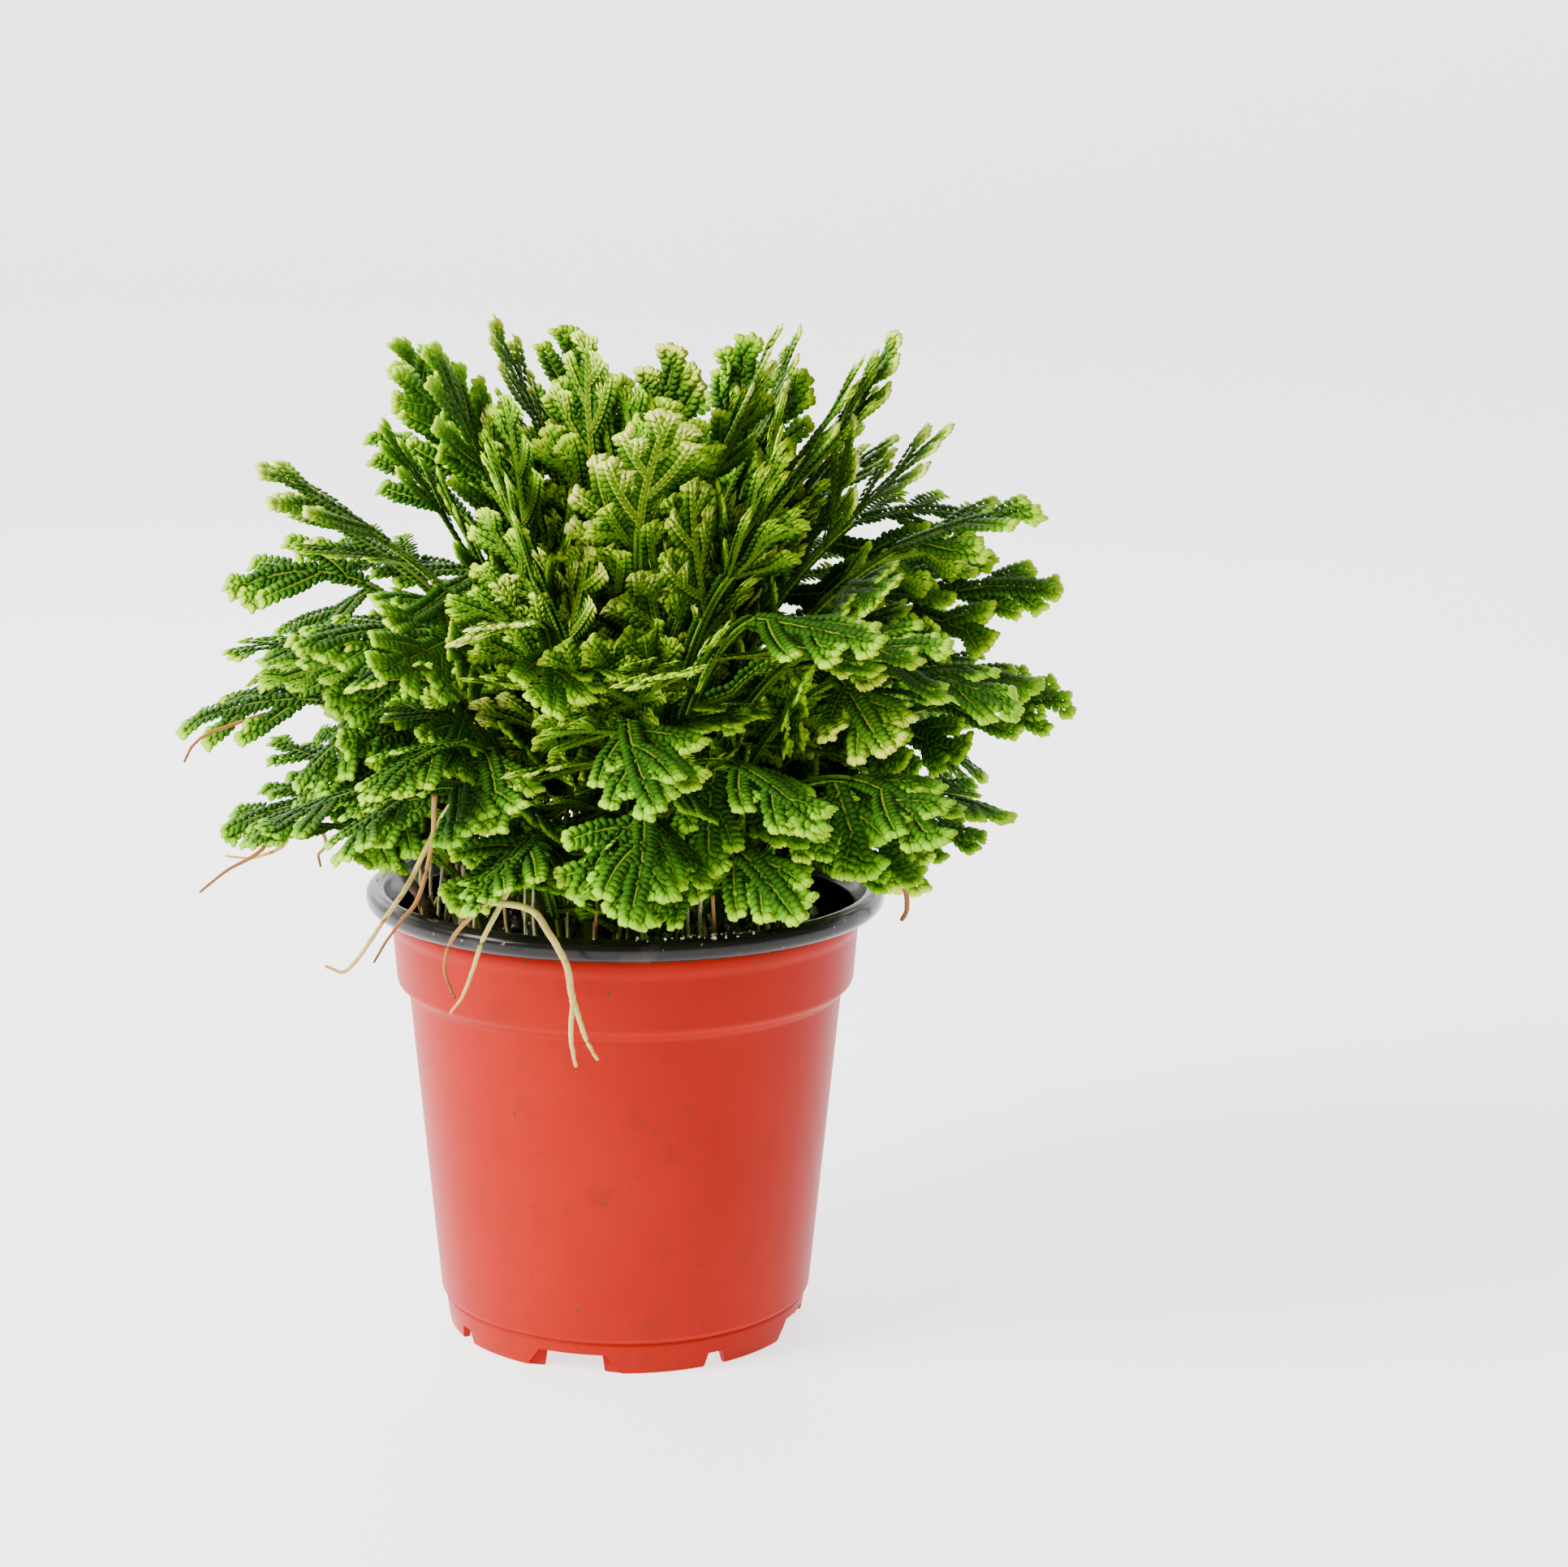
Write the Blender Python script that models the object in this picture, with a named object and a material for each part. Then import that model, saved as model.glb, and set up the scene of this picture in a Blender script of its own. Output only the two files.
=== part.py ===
"""A frosted spikemoss plant growing in a two-colour plastic nursery pot.

Metres, +Z up. The origin is on the pot's axis at the level of its foot. The front of the
plant faces -Y and +X is its right. The plant is a fountain of flat shoots in seven tiers:
every shoot of a tier lies on one arching surface of revolution, and the tiers nest inside
each other, so no shoot can grow through another. Aerial roots hang below the shoots.
"""
import math

import bpy
import bmesh
from mathutils import Vector, geometry

MM = 0.001

# Pot: driving sizes
POT_HEIGHT = 100 * MM
LIP_RADIUS = 57 * MM
LIP_HEIGHT = 4.8 * MM
LIP_INNER_STEP = 4.2 * MM
COLLAR_RADIUS = 51.3 * MM
COLLAR_HEIGHT = 16.5 * MM
COLLAR_TAPER = 0.8 * MM
BEAD_DEPTH = 0.7 * MM
BEAD_HEIGHT = 3.0 * MM
STEP_DEPTH = 2.6 * MM
STEP_HEIGHT = 2.2 * MM
FOOT_RADIUS = 39.6 * MM
FOOT_HEIGHT = 7.0 * MM
FOOT_TAPER = 0.9 * MM
FOOT_LEDGE = 0.9 * MM
FOOT_WALL = 1.6 * MM
WALL = 1.0 * MM
FLOOR_RISE = 3.9 * MM
FLOOR_THICKNESS = 1.2 * MM
POT_SEGMENTS = 60

# Foot notches and drain holes
WIDE_NOTCHES = 4
WIDE_NOTCH_WIDTH = 15.0 * MM
WIDE_NOTCH_SLANT = 3.2 * MM
WIDE_NOTCH_HEIGHT = 4.4 * MM
NARROW_NOTCH_WIDTH = 3.4 * MM
NARROW_NOTCH_SLANT = 0.9 * MM
NARROW_NOTCH_HEIGHT = 3.2 * MM
FIRST_NOTCH_ANGLE = math.radians(-107)
NARROW_NOTCH_TURN = math.radians(46)
DRAIN_HOLES = 6
DRAIN_HOLE_RADIUS = 3.2 * MM
DRAIN_CIRCLE_RADIUS = 23.5 * MM

# Soil
SOIL_DEPTH_BELOW_RIM = 13.5 * MM
SOIL_CROWN = 2.0 * MM
CLEARANCE = 0.35 * MM

# Shoots
STEM_WIDTH = 2.0 * MM
SHOOT_THICKNESS = 1.3 * MM
SPRAY_WIDTH = 6.0 * MM
SPRAY_SPACING = 10.5 * MM
SPRAY_ANGLE = math.radians(38)
TIER_GAP_SHARE = 0.94
LEAN_TO_RIGHT = 0.05
LEAN_LEVEL = 21.15 * MM
SIDE_SPREAD = 0.48
SIDE_SPREAD_FROM = 41.15 * MM
SIDE_SPREAD_OVER = 100 * MM
FRONT_BOW = 0.34
FRONT_BOW_REACH = 92 * MM
FRONT_BOW_RISE = 55 * MM

# The shoots' feet stand just clear of the soil's crown.
FOOT_Z = POT_HEIGHT - SOIL_DEPTH_BELOW_RIM + SOIL_CROWN + CLEARANCE

# Each tier: name, the arch from the soil to its outermost tips (radius and height above
# the soil in millimetres), where the leafy blade starts as a share of the shoot, and its
# shoots as (azimuth in degrees, share of the arch that the shoot reaches).
TIERS = [
    ("crown_shoot", [(4, 0), (5, 60), (9, 112), (21, 139)], 0.42,
     [(-118, 0.98), (-52, 1.00), (14, 0.97), (84, 0.92), (158, 0.98)]),
    ("upper_shoot", [(10, 0), (13, 62), (24, 112), (42, 124)], 0.40,
     [(-92, 0.95), (-42, 1.00), (10, 1.00), (60, 0.96), (112, 0.98), (164, 0.99), (216, 1.00)]),
    ("shoulder_shoot", [(16, 0), (20, 58), (42, 108), (74, 100)], 0.38,
     [(-114, 0.94), (-66, 0.97), (-18, 0.98), (32, 0.97), (84, 0.96), (136, 0.97), (192, 0.97)]),
    ("side_shoot", [(22, 0), (27, 48), (54, 92), (88, 74)], 0.36,
     [(-92, 0.94), (-40, 0.98), (4, 0.95), (54, 0.97), (108, 0.96), (158, 0.98), (212, 0.97)]),
    ("waist_shoot", [(28, 0), (33, 37), (62, 68), (95, 44)], 0.34,
     [(-130, 0.95), (-88, 0.93), (-46, 0.96), (-4, 0.96), (40, 0.97), (88, 0.96), (136, 0.97),
      (184, 0.99)]),
    ("skirt_shoot", [(33, 0), (38, 24), (64, 42), (90, 18)], 0.32,
     [(-112, 0.90), (-66, 0.90), (-20, 0.94), (30, 0.97), (82, 0.95), (134, 0.95), (180, 0.95)]),
    ("low_shoot", [(37, 0), (39, 13), (44, 19), (50, 13)], 0.34,
     [(-90, 1.00), (-42, 0.96), (40, 1.00), (160, 1.00)]),
]
ARCH_STEPS = 48

# Aerial roots. Each hangs from the underside of a shoot: its tier, its azimuth in degrees
# and the share of the arch; then its route by hand in millimetres (right, back, and up from
# the pot's rim), and its thickness at the top and at the tip. Near the rim they hang clear
# outside the lip.
ROOT_SIDES = 6
ROOT_GAP = 0.9 * MM
ROOT_LIP_GAP = 1.6 * MM
ROOT_LIP_LEVEL = 4.0 * MM
ROOTS = {
    "root_forked": ("skirt_shoot", -112, 0.74,
                    [(-19, -63, 8), (-15, -64.5, 3), (-12, -64.5, -3), (-11, -64, -9),
                     (-10.6, -63.6, -11.5)], 1.5, 1.4),
    "root_front_left": ("skirt_shoot", -112, 0.58,
                        [(-29, -60, 1), (-31, -61.5, -5), (-33, -62, -10), (-35.5, -62, -13.5)],
                        1.2, 0.5),
    "root_front_brown": ("skirt_shoot", -112, 0.66,
                         [(-34, -59.5, 3), (-36.5, -60.5, -3), (-36, -61.3, -7),
                          (-34.5, -61.8, -10.5)], 1.1, 0.5),
    "root_left_rim": ("waist_shoot", -130, 0.56,
                      [(-40, -36, 18), (-45, -38, 8), (-48.5, -40, 3), (-52.5, -43, -2.5),
                       (-56, -44.5, -7.5), (-58.5, -45, -9.4), (-62, -45.5, -8)], 1.3, 0.7),
    "root_left_bent": ("waist_shoot", -130, 0.64,
                       [(-40, -42.5, 17), (-42.5, -46, 7), (-46, -49, 2.5),
                        (-49, -50.5, -1.5), (-51.5, -52, -5.5)], 1.2, 0.5),
    "root_far_left": ("skirt_shoot", 180, 0.82,
                      [(-79, -6, 8), (-86, -9, 4), (-92, -11, -0.5)], 1.2, 0.5),
    "root_far_left_low": ("skirt_shoot", 180, 0.76,
                          [(-75, 3, 7), (-82, 3.5, 4), (-88, 3, 4.5)], 1.1, 0.5),
    "root_left_hook": ("skirt_shoot", 180, 0.68,
                       [(-66, 3, 7.5), (-68, 6.5, 4), (-67.5, 7, 1)], 1.0, 0.5),
    "root_left_curl": ("waist_shoot", 184, 0.82,
                       [(-88, -12, 35), (-92, -14, 32.5), (-94, -15, 29)], 0.9, 0.5),
    "root_right_rim": ("skirt_shoot", -20, 0.58,
                       [(56.5, -17, 7), (60, -15.5, 2), (60.8, -14.6, -3.5), (59.8, -14, -6)],
                       1.5, 1.0),
}
FORK_ARMS = [[(-10.6, -63.6, -10.5), (-11.2, -63.4, -16), (-10.8, -63.2, -21),
              (-10.2, -63, -24.5)],
             [(-10.6, -63.6, -10.5), (-9.2, -63.6, -15.5), (-7.4, -63.4, -20), (-5.8, -63.2, -23)]]

# Prop roots stand on the soil under the low shoots: points by hand (right, back, height
# above the soil) in millimetres, and the thickness at the foot and at the top.
PROP_ROOTS = {
    "prop_root_1": ([(30, -33, 0), (30.2, -33.5, 6), (29, -33, 10.5)], 1.1, 1.3),
    "prop_root_2": ([(4, -45, 0), (4.6, -45.3, 6), (3.4, -44.5, 10.5)], 1.0, 1.2),
}


def clear_scene():
    for thing in list(bpy.data.objects):
        bpy.data.objects.remove(thing, do_unlink=True)


def finish(name, red, green, blue, roughness):
    """A plain surface finish: one colour and one roughness."""
    material = bpy.data.materials.new(name)
    material.use_nodes = True
    shader = material.node_tree.nodes["Principled BSDF"]
    shader.inputs["Base Color"].default_value = (red, green, blue, 1.0)
    shader.inputs["Roughness"].default_value = roughness
    shader.inputs["Metallic"].default_value = 0.0
    return material


def add_object(name, points, faces, material, smooth_angle=35):
    """One closed mesh from its corners and faces, with its faces turned outwards."""
    mesh = bpy.data.meshes.new(name)
    mesh.from_pydata([tuple(p) for p in points], [], faces)
    work = bmesh.new()
    work.from_mesh(mesh)
    bmesh.ops.recalc_face_normals(work, faces=work.faces)
    work.to_mesh(mesh)
    work.free()
    mesh.shade_smooth()
    mesh.set_sharp_from_angle(angle=math.radians(smooth_angle))
    mesh.materials.append(material)
    thing = bpy.data.objects.new(name, mesh)
    bpy.context.scene.collection.objects.link(thing)
    return thing


def turned(profile, segments):
    """A body turned about Z. The profile starts and ends on the axis."""
    points = [Vector((0, 0, profile[0][1]))]
    rings = []
    for radius, height in profile[1:-1]:
        rings.append(len(points))
        for step in range(segments):
            angle = math.tau * step / segments
            points.append(Vector((radius * math.cos(angle), radius * math.sin(angle), height)))
    points.append(Vector((0, 0, profile[-1][1])))
    faces = []
    for step in range(segments):
        after = (step + 1) % segments
        faces.append((0, rings[0] + step, rings[0] + after))
        faces.append((len(points) - 1, rings[-1] + after, rings[-1] + step))
        for low, high in zip(rings, rings[1:]):
            faces.append((low + step, high + step, high + after, low + after))
    return points, faces


# Pot

WALL_TOP_RADIUS = COLLAR_RADIUS - COLLAR_TAPER - STEP_DEPTH
COLLAR_TOP_Z = POT_HEIGHT - LIP_HEIGHT
COLLAR_BOTTOM_Z = COLLAR_TOP_Z - COLLAR_HEIGHT
WALL_TOP_Z = COLLAR_BOTTOM_Z - STEP_HEIGHT
FLOOR_TOP_Z = FLOOR_RISE + FLOOR_THICKNESS
INNER_WALL = [
    (FOOT_RADIUS + FOOT_LEDGE - WALL, FLOOR_TOP_Z),
    (FOOT_RADIUS + FOOT_TAPER + FOOT_LEDGE - WALL, FLOOR_TOP_Z + FOOT_HEIGHT * 0.3),
    (WALL_TOP_RADIUS - WALL, WALL_TOP_Z + WALL * 0.5),
    (COLLAR_RADIUS - COLLAR_TAPER - WALL, COLLAR_BOTTOM_Z + WALL * 0.5),
    (COLLAR_RADIUS - WALL, COLLAR_TOP_Z),
]


def inner_radius(height):
    """The pot's inside radius at a height."""
    for (r0, z0), (r1, z1) in zip(INNER_WALL, INNER_WALL[1:]):
        if height <= z1:
            return r0 + (r1 - r0) * max(0.0, height - z0) / (z1 - z0)
    return INNER_WALL[-1][0]


def pot_profile():
    lip_round = LIP_HEIGHT * 0.2
    outside = [
        (0, FLOOR_RISE),
        (FOOT_RADIUS - FOOT_WALL, FLOOR_RISE),
        (FOOT_RADIUS - FOOT_WALL, 0),
        (FOOT_RADIUS, 0),
        (FOOT_RADIUS + FOOT_TAPER, FOOT_HEIGHT),
        (FOOT_RADIUS + FOOT_TAPER + FOOT_LEDGE, FOOT_HEIGHT + FOOT_LEDGE),
        (WALL_TOP_RADIUS, WALL_TOP_Z),
        (COLLAR_RADIUS - COLLAR_TAPER, COLLAR_BOTTOM_Z),
        (COLLAR_RADIUS, COLLAR_TOP_Z - BEAD_HEIGHT * 1.6),
        (COLLAR_RADIUS + BEAD_DEPTH, COLLAR_TOP_Z - BEAD_HEIGHT),
        (COLLAR_RADIUS + BEAD_DEPTH, COLLAR_TOP_Z - BEAD_HEIGHT * 0.25),
        (LIP_RADIUS - lip_round, COLLAR_TOP_Z),
        (LIP_RADIUS, COLLAR_TOP_Z + lip_round),
        (LIP_RADIUS - lip_round * 0.3, POT_HEIGHT - lip_round * 1.3),
        (LIP_RADIUS - lip_round * 1.3, POT_HEIGHT - lip_round * 0.3),
        (LIP_RADIUS - lip_round * 2.6, POT_HEIGHT),
        (LIP_RADIUS - LIP_INNER_STEP, POT_HEIGHT - lip_round * 0.6),
    ]
    return outside + INNER_WALL[::-1] + [(0, FLOOR_TOP_Z)]


def notch_cutter():
    """The wedges that cut the foot's notches, and the drain holes' pins, as one guide."""
    points = []
    faces = []

    def add_wedge(angle, width, slant, height):
        """A wedge from below the foot: wide at its open end, narrow at its roof."""
        radial = Vector((math.cos(angle), math.sin(angle), 0))
        across = Vector((-math.sin(angle), math.cos(angle), 0))
        start = len(points)
        for reach in (FOOT_RADIUS - FOOT_WALL * 1.3, FOOT_RADIUS + FOOT_TAPER + FOOT_WALL):
            for side, level in ((-1, -height), (1, -height), (1, height), (-1, height)):
                half = width / 2 + (slant * 2 if level < 0 else 0.0)
                points.append(radial * reach + across * side * half + Vector((0, 0, level)))
        for corners in ((0, 1, 2, 3), (7, 6, 5, 4), (0, 4, 5, 1), (1, 5, 6, 2),
                        (2, 6, 7, 3), (3, 7, 4, 0)):
            faces.append(tuple(start + corner for corner in corners))

    for number in range(WIDE_NOTCHES):
        angle = FIRST_NOTCH_ANGLE + math.tau * number / WIDE_NOTCHES
        add_wedge(angle, WIDE_NOTCH_WIDTH, WIDE_NOTCH_SLANT, WIDE_NOTCH_HEIGHT)
        add_wedge(angle + NARROW_NOTCH_TURN, NARROW_NOTCH_WIDTH, NARROW_NOTCH_SLANT,
                  NARROW_NOTCH_HEIGHT)
    pin_sides = 12
    for number in range(DRAIN_HOLES):
        angle = FIRST_NOTCH_ANGLE + math.tau * (number + 0.3) / DRAIN_HOLES
        centre = Vector((math.cos(angle), math.sin(angle), 0)) * DRAIN_CIRCLE_RADIUS
        start = len(points)
        for level in (FLOOR_RISE - FLOOR_THICKNESS, FLOOR_TOP_Z + FLOOR_THICKNESS):
            for step in range(pin_sides):
                turn = math.tau * step / pin_sides
                spoke = Vector((math.cos(turn), math.sin(turn), 0)) * DRAIN_HOLE_RADIUS
                points.append(centre + spoke + Vector((0, 0, level)))
        faces.append(tuple(start + step for step in range(pin_sides))[::-1])
        faces.append(tuple(start + pin_sides + step for step in range(pin_sides)))
        for step in range(pin_sides):
            after = (step + 1) % pin_sides
            faces.append((start + step, start + after,
                          start + pin_sides + after, start + pin_sides + step))
    return points, faces


def build_pot():
    material = finish("pot_plastic", 0.60, 0.075, 0.03, 0.38)
    points, faces = turned(pot_profile(), POT_SEGMENTS)
    pot = add_object("pot", points, faces, material)
    points, faces = notch_cutter()
    cutter = add_object("notch_guide", points, faces, material)
    cutter.hide_render = True
    cutter.display_type = "WIRE"
    cut = pot.modifiers.new("foot_notches", "BOOLEAN")
    cut.operation = "DIFFERENCE"
    cut.solver = "EXACT"
    cut.object = cutter


# Soil

def build_soil():
    """The root ball fills the pot from its floor, up to a slightly domed top."""
    top = POT_HEIGHT - SOIL_DEPTH_BELOW_RIM
    bottom = FLOOR_TOP_Z + CLEARANCE
    levels = [bottom] + [z for _, z in INNER_WALL[1:] if bottom < z < top] + [top]
    profile = [(0, bottom)]
    profile += [(inner_radius(z) - CLEARANCE - STEP_DEPTH * 0.1, z) for z in levels]
    rim = profile[-1][0]
    for share in (0.85, 0.6, 0.3):
        profile.append((rim * share, top + SOIL_CROWN * (1 - share ** 2)))
    profile.append((0, top + SOIL_CROWN))
    points, faces = turned(profile, POT_SEGMENTS // 2)
    add_object("soil", points, faces, finish("peat_soil", 0.02, 0.013, 0.009, 0.95))


# Shoots

def bezier(corners, share):
    """The point (radius, height) of a cubic arch at a share of its run."""
    a, b, c, d = [Vector(corner) * MM for corner in corners]
    rest = 1 - share
    return a * rest ** 3 + 3 * b * rest ** 2 * share + 3 * c * rest * share ** 2 + d * share ** 3


class Arch:
    """A tier's arch in the radial plane, measured by the distance along it."""

    def __init__(self, corners):
        self.points = [bezier(corners, step / ARCH_STEPS) for step in range(ARCH_STEPS + 1)]
        self.lengths = [0.0]
        for before, after in zip(self.points, self.points[1:]):
            self.lengths.append(self.lengths[-1] + (after - before).length)
        self.length = self.lengths[-1]

    def at(self, distance):
        """Radius and height at a distance, and the unit direction along the arch."""
        distance = min(max(distance, 0.0), self.length)
        number = 0
        while number < ARCH_STEPS - 1 and self.lengths[number + 1] < distance:
            number += 1
        run = self.points[number + 1] - self.points[number]
        share = (distance - self.lengths[number]) / run.length
        return self.points[number] + run * share, run.normalized()


def ease(share):
    share = min(max(share, 0.0), 1.0)
    return share * share * (3 - 2 * share)


def grown(point):
    """The plant's own habit: it leans a little to the right, its top spreads to the sides,
    and its front bows down towards the light."""
    height = point.z - FOOT_Z
    spread = 1 + SIDE_SPREAD * ease((height - SIDE_SPREAD_FROM) / SIDE_SPREAD_OVER)
    bow = 1 - FRONT_BOW * ease(-point.y / FRONT_BOW_REACH) * ease(height / FRONT_BOW_RISE)
    return Vector((point.x * spread + LEAN_TO_RIGHT * (height - LEAN_LEVEL), point.y,
                   FOOT_Z + height * bow))


def on_arch(arch, azimuth, along, across, lift):
    """A point of a shoot: along and across its blade, and lifted off the arch's surface."""
    place, run = arch.at(along)
    radius = place.x - run.y * lift
    height = place.y + run.x * lift
    angle = azimuth + across / max(place.x, 2 * MM)
    return grown(Vector((radius * math.cos(angle), radius * math.sin(angle), FOOT_Z + height)))


def spray_outline(arch, reach, blade_start, sector, number):
    """One shoot's flat outline: the stem, its forked side sprays and the end spray."""
    half_stem = STEM_WIDTH / 2
    half_spray = SPRAY_WIDTH / 2
    start = reach * blade_start
    count = max(1, int((reach - SPRAY_WIDTH - start) / SPRAY_SPACING))

    def room(along):
        """Half the width that the tier's neighbours leave at this distance."""
        return arch.at(along)[0].x * sector

    sides = {}
    for side in (-1, 1):
        edge = [(0.0, half_stem)]
        for stop in range(1, 4):
            edge.append((start * stop / 4, half_stem))
        for spray in range(count):
            root = start + SPRAY_SPACING * (spray + (0.25 if side * (-1) ** number > 0 else 0.0))
            rise = SPRAY_WIDTH / math.sin(SPRAY_ANGLE)
            if root + rise * 0.6 > reach - SPRAY_WIDTH * 1.2:
                break
            longest = (reach - root) * 0.62 / math.cos(SPRAY_ANGLE)
            width = max(half_stem * 2, min(room(root + rise * 0.5), longest * math.sin(SPRAY_ANGLE)))
            run = (width - half_stem) / math.tan(SPRAY_ANGLE)
            edge.append((root, half_stem))
            edge.append((root + run + SPRAY_WIDTH * 0.1, width))
            edge.append((root + run + rise * 0.55, width))
            edge.append((root + rise * 0.55 + SPRAY_SPACING * 0.1, half_stem * 1.2))
        end_half = max(half_stem, min(half_spray, room(reach - SPRAY_WIDTH)))
        edge.append((reach - SPRAY_WIDTH * 1.1, half_stem))
        edge.append((reach - SPRAY_WIDTH * 0.5, end_half))
        edge.append((reach, end_half * 0.6))
        sides[side] = edge
    return ([Vector(point) for point in sides[1]]
            + [Vector((along, -across)) for along, across in reversed(sides[-1])])


def build_shoots():
    material = finish("leaf_green", 0.10, 0.28, 0.04, 0.5)
    for name, corners, blade_start, shoots in TIERS:
        arch = Arch(corners)
        azimuths = sorted(azimuth % 360 for azimuth, _ in shoots)
        for number, (azimuth, share) in enumerate(shoots):
            others = [abs((azimuth - other + 180) % 360 - 180) for other in azimuths]
            nearest = sorted(others)[1]
            sector = math.radians(nearest / 2) * TIER_GAP_SHARE
            outline = spray_outline(arch, arch.length * share, blade_start, sector, number)
            edges = [(at, (at + 1) % len(outline)) for at in range(len(outline))]
            flat, _, inside, _, _, _ = geometry.delaunay_2d_cdt(outline, edges, [], 1, 1e-7)
            turn = math.radians(azimuth)
            points = [on_arch(arch, turn, p.x, p.y, 0) for p in flat]
            points += [on_arch(arch, turn, p.x, p.y, -SHOOT_THICKNESS) for p in flat]
            count = len(flat)
            faces = [tuple(face) for face in inside]
            faces += [tuple(at + count for at in reversed(face)) for face in inside]
            used = {}
            for face in inside:
                for at, after in zip(face, list(face[1:]) + [face[0]]):
                    used[(at, after)] = True
            for at, after in used:
                if (after, at) not in used:
                    faces.append((after, at, at + count, after + count))
            add_object(f"{name}_{number + 1}", points, faces, material)


# Roots

def smooth_path(stops, steps):
    """Points of a smooth curve through the stops (Catmull-Rom)."""
    stops = [Vector(stop) * MM for stop in stops]
    padded = [2 * stops[0] - stops[1]] + stops + [2 * stops[-1] - stops[-2]]
    path = []
    for number in range(len(stops) - 1):
        a, b, c, d = padded[number:number + 4]
        for step in range(steps):
            t = step / steps
            path.append(0.5 * ((2 * b) + (c - a) * t + (2 * a - 5 * b + 4 * c - d) * t ** 2
                               + (3 * b - a - 3 * c + d) * t ** 3))
    path.append(stops[-1])
    return path


def tube(path, thick, thin):
    """A closed tapering tube along a path."""
    points = [path[0]]
    side = Vector((0, 1, 0))
    for number, place in enumerate(path):
        ahead = path[min(number + 1, len(path) - 1)] - path[max(number - 1, 0)]
        ahead.normalize()
        side = (side - ahead * side.dot(ahead)).normalized()
        other = ahead.cross(side)
        radius = (thick + (thin - thick) * number / (len(path) - 1)) * MM / 2
        for step in range(ROOT_SIDES):
            turn = math.tau * step / ROOT_SIDES
            points.append(place + (side * math.cos(turn) + other * math.sin(turn)) * radius)
    points.append(path[-1])
    faces = []
    last = len(points) - 1
    for step in range(ROOT_SIDES):
        after = (step + 1) % ROOT_SIDES
        faces.append((0, 1 + after, 1 + step))
        faces.append((last, last - ROOT_SIDES + step, last - ROOT_SIDES + after))
        for ring in range(len(path) - 1):
            low = 1 + ring * ROOT_SIDES
            high = low + ROOT_SIDES
            faces.append((low + step, low + after, high + after, high + step))
    return points, faces


def beside_lip(stop):
    """A root's stop from the rim's level: near and below the rim it stays outside the lip."""
    x, y, up = [part * MM for part in stop]
    reach = math.hypot(x, y)
    if up < ROOT_LIP_LEVEL and reach < LIP_RADIUS + ROOT_LIP_GAP:
        push = (LIP_RADIUS + ROOT_LIP_GAP) / reach
        x *= push
        y *= push
    return Vector((x, y, POT_HEIGHT + up)) / MM


def build_roots():
    material = finish("aerial_root", 0.62, 0.48, 0.22, 0.6)
    arches = {name: Arch(corners) for name, corners, _, _ in TIERS}
    for name, (tier, azimuth, share, stops, thick, thin) in ROOTS.items():
        arch = arches[tier]
        below = SHOOT_THICKNESS + ROOT_GAP + thick * MM / 2
        top = on_arch(arch, math.radians(azimuth), arch.length * share, 0.0, -below)
        path = smooth_path([top / MM] + [beside_lip(stop) for stop in stops], 2)
        points, faces = tube(path, thick, thin)
        root = add_object(name, points, faces, material, 60)
        if name == "root_forked":
            for number, arm in enumerate(FORK_ARMS):
                path = smooth_path([beside_lip(stop) for stop in arm], 2)
                points, faces = tube(path, thin * 0.9, 0.7)
                piece = add_object(f"fork_arm_{number + 1}", points, faces, material, 60)
                piece.hide_render = True
                piece.display_type = "WIRE"
                join = root.modifiers.new(f"join_{number + 1}", "BOOLEAN")
                join.operation = "UNION"
                join.solver = "EXACT"
                join.object = piece
    for name, (stops, thick, thin) in PROP_ROOTS.items():
        raised = [(x, y, z + FOOT_Z / MM) for x, y, z in stops]
        points, faces = tube(smooth_path(raised, 2), thick, thin)
        add_object(name, points, faces, material, 60)


def build_old_stem():
    """A dead woody stem that rises from the soil at the left, under the shoots."""
    material = finish("old_stem", 0.06, 0.035, 0.02, 0.9)
    stops = [(-36, -22, 0.45), (-40, -24.5, 6.15), (-42.5, -26.5, 12.15), (-46.5, -28.5, 18.15),
             (-49.5, -31, 24.15), (-49, -31, 30.15), (-50.5, -31.5, 36.15)]
    raised = [(x, y, z + FOOT_Z / MM) for x, y, z in stops]
    points, faces = tube(smooth_path(raised, 2), 2.6, 2.0)
    add_object("old_stem", points, faces, material, 60)


clear_scene()
build_pot()
build_soil()
build_shoots()
build_roots()
build_old_stem()
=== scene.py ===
"""A frosted spikemoss in its nursery pot: the looks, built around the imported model.

Shapes are worked out in millimetres and become metres in their meshes. +Z is up, and the
front of the plant is at -Y.
"""
import math
import random

import bmesh
import bpy
import numpy as np
from mathutils import Matrix, Vector, noise


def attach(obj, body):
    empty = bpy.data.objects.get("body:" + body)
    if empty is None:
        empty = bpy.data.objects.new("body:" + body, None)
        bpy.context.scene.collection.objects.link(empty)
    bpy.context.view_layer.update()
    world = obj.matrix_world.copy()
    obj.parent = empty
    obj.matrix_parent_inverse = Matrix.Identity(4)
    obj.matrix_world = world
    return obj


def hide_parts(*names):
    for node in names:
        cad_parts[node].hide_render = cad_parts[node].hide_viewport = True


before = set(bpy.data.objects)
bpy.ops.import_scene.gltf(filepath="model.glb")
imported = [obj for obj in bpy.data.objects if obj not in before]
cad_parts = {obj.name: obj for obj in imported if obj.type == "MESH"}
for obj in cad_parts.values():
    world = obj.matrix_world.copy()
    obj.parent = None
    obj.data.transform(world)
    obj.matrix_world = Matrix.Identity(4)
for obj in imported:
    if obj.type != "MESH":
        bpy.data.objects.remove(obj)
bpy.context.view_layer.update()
MM = 0.001


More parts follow.
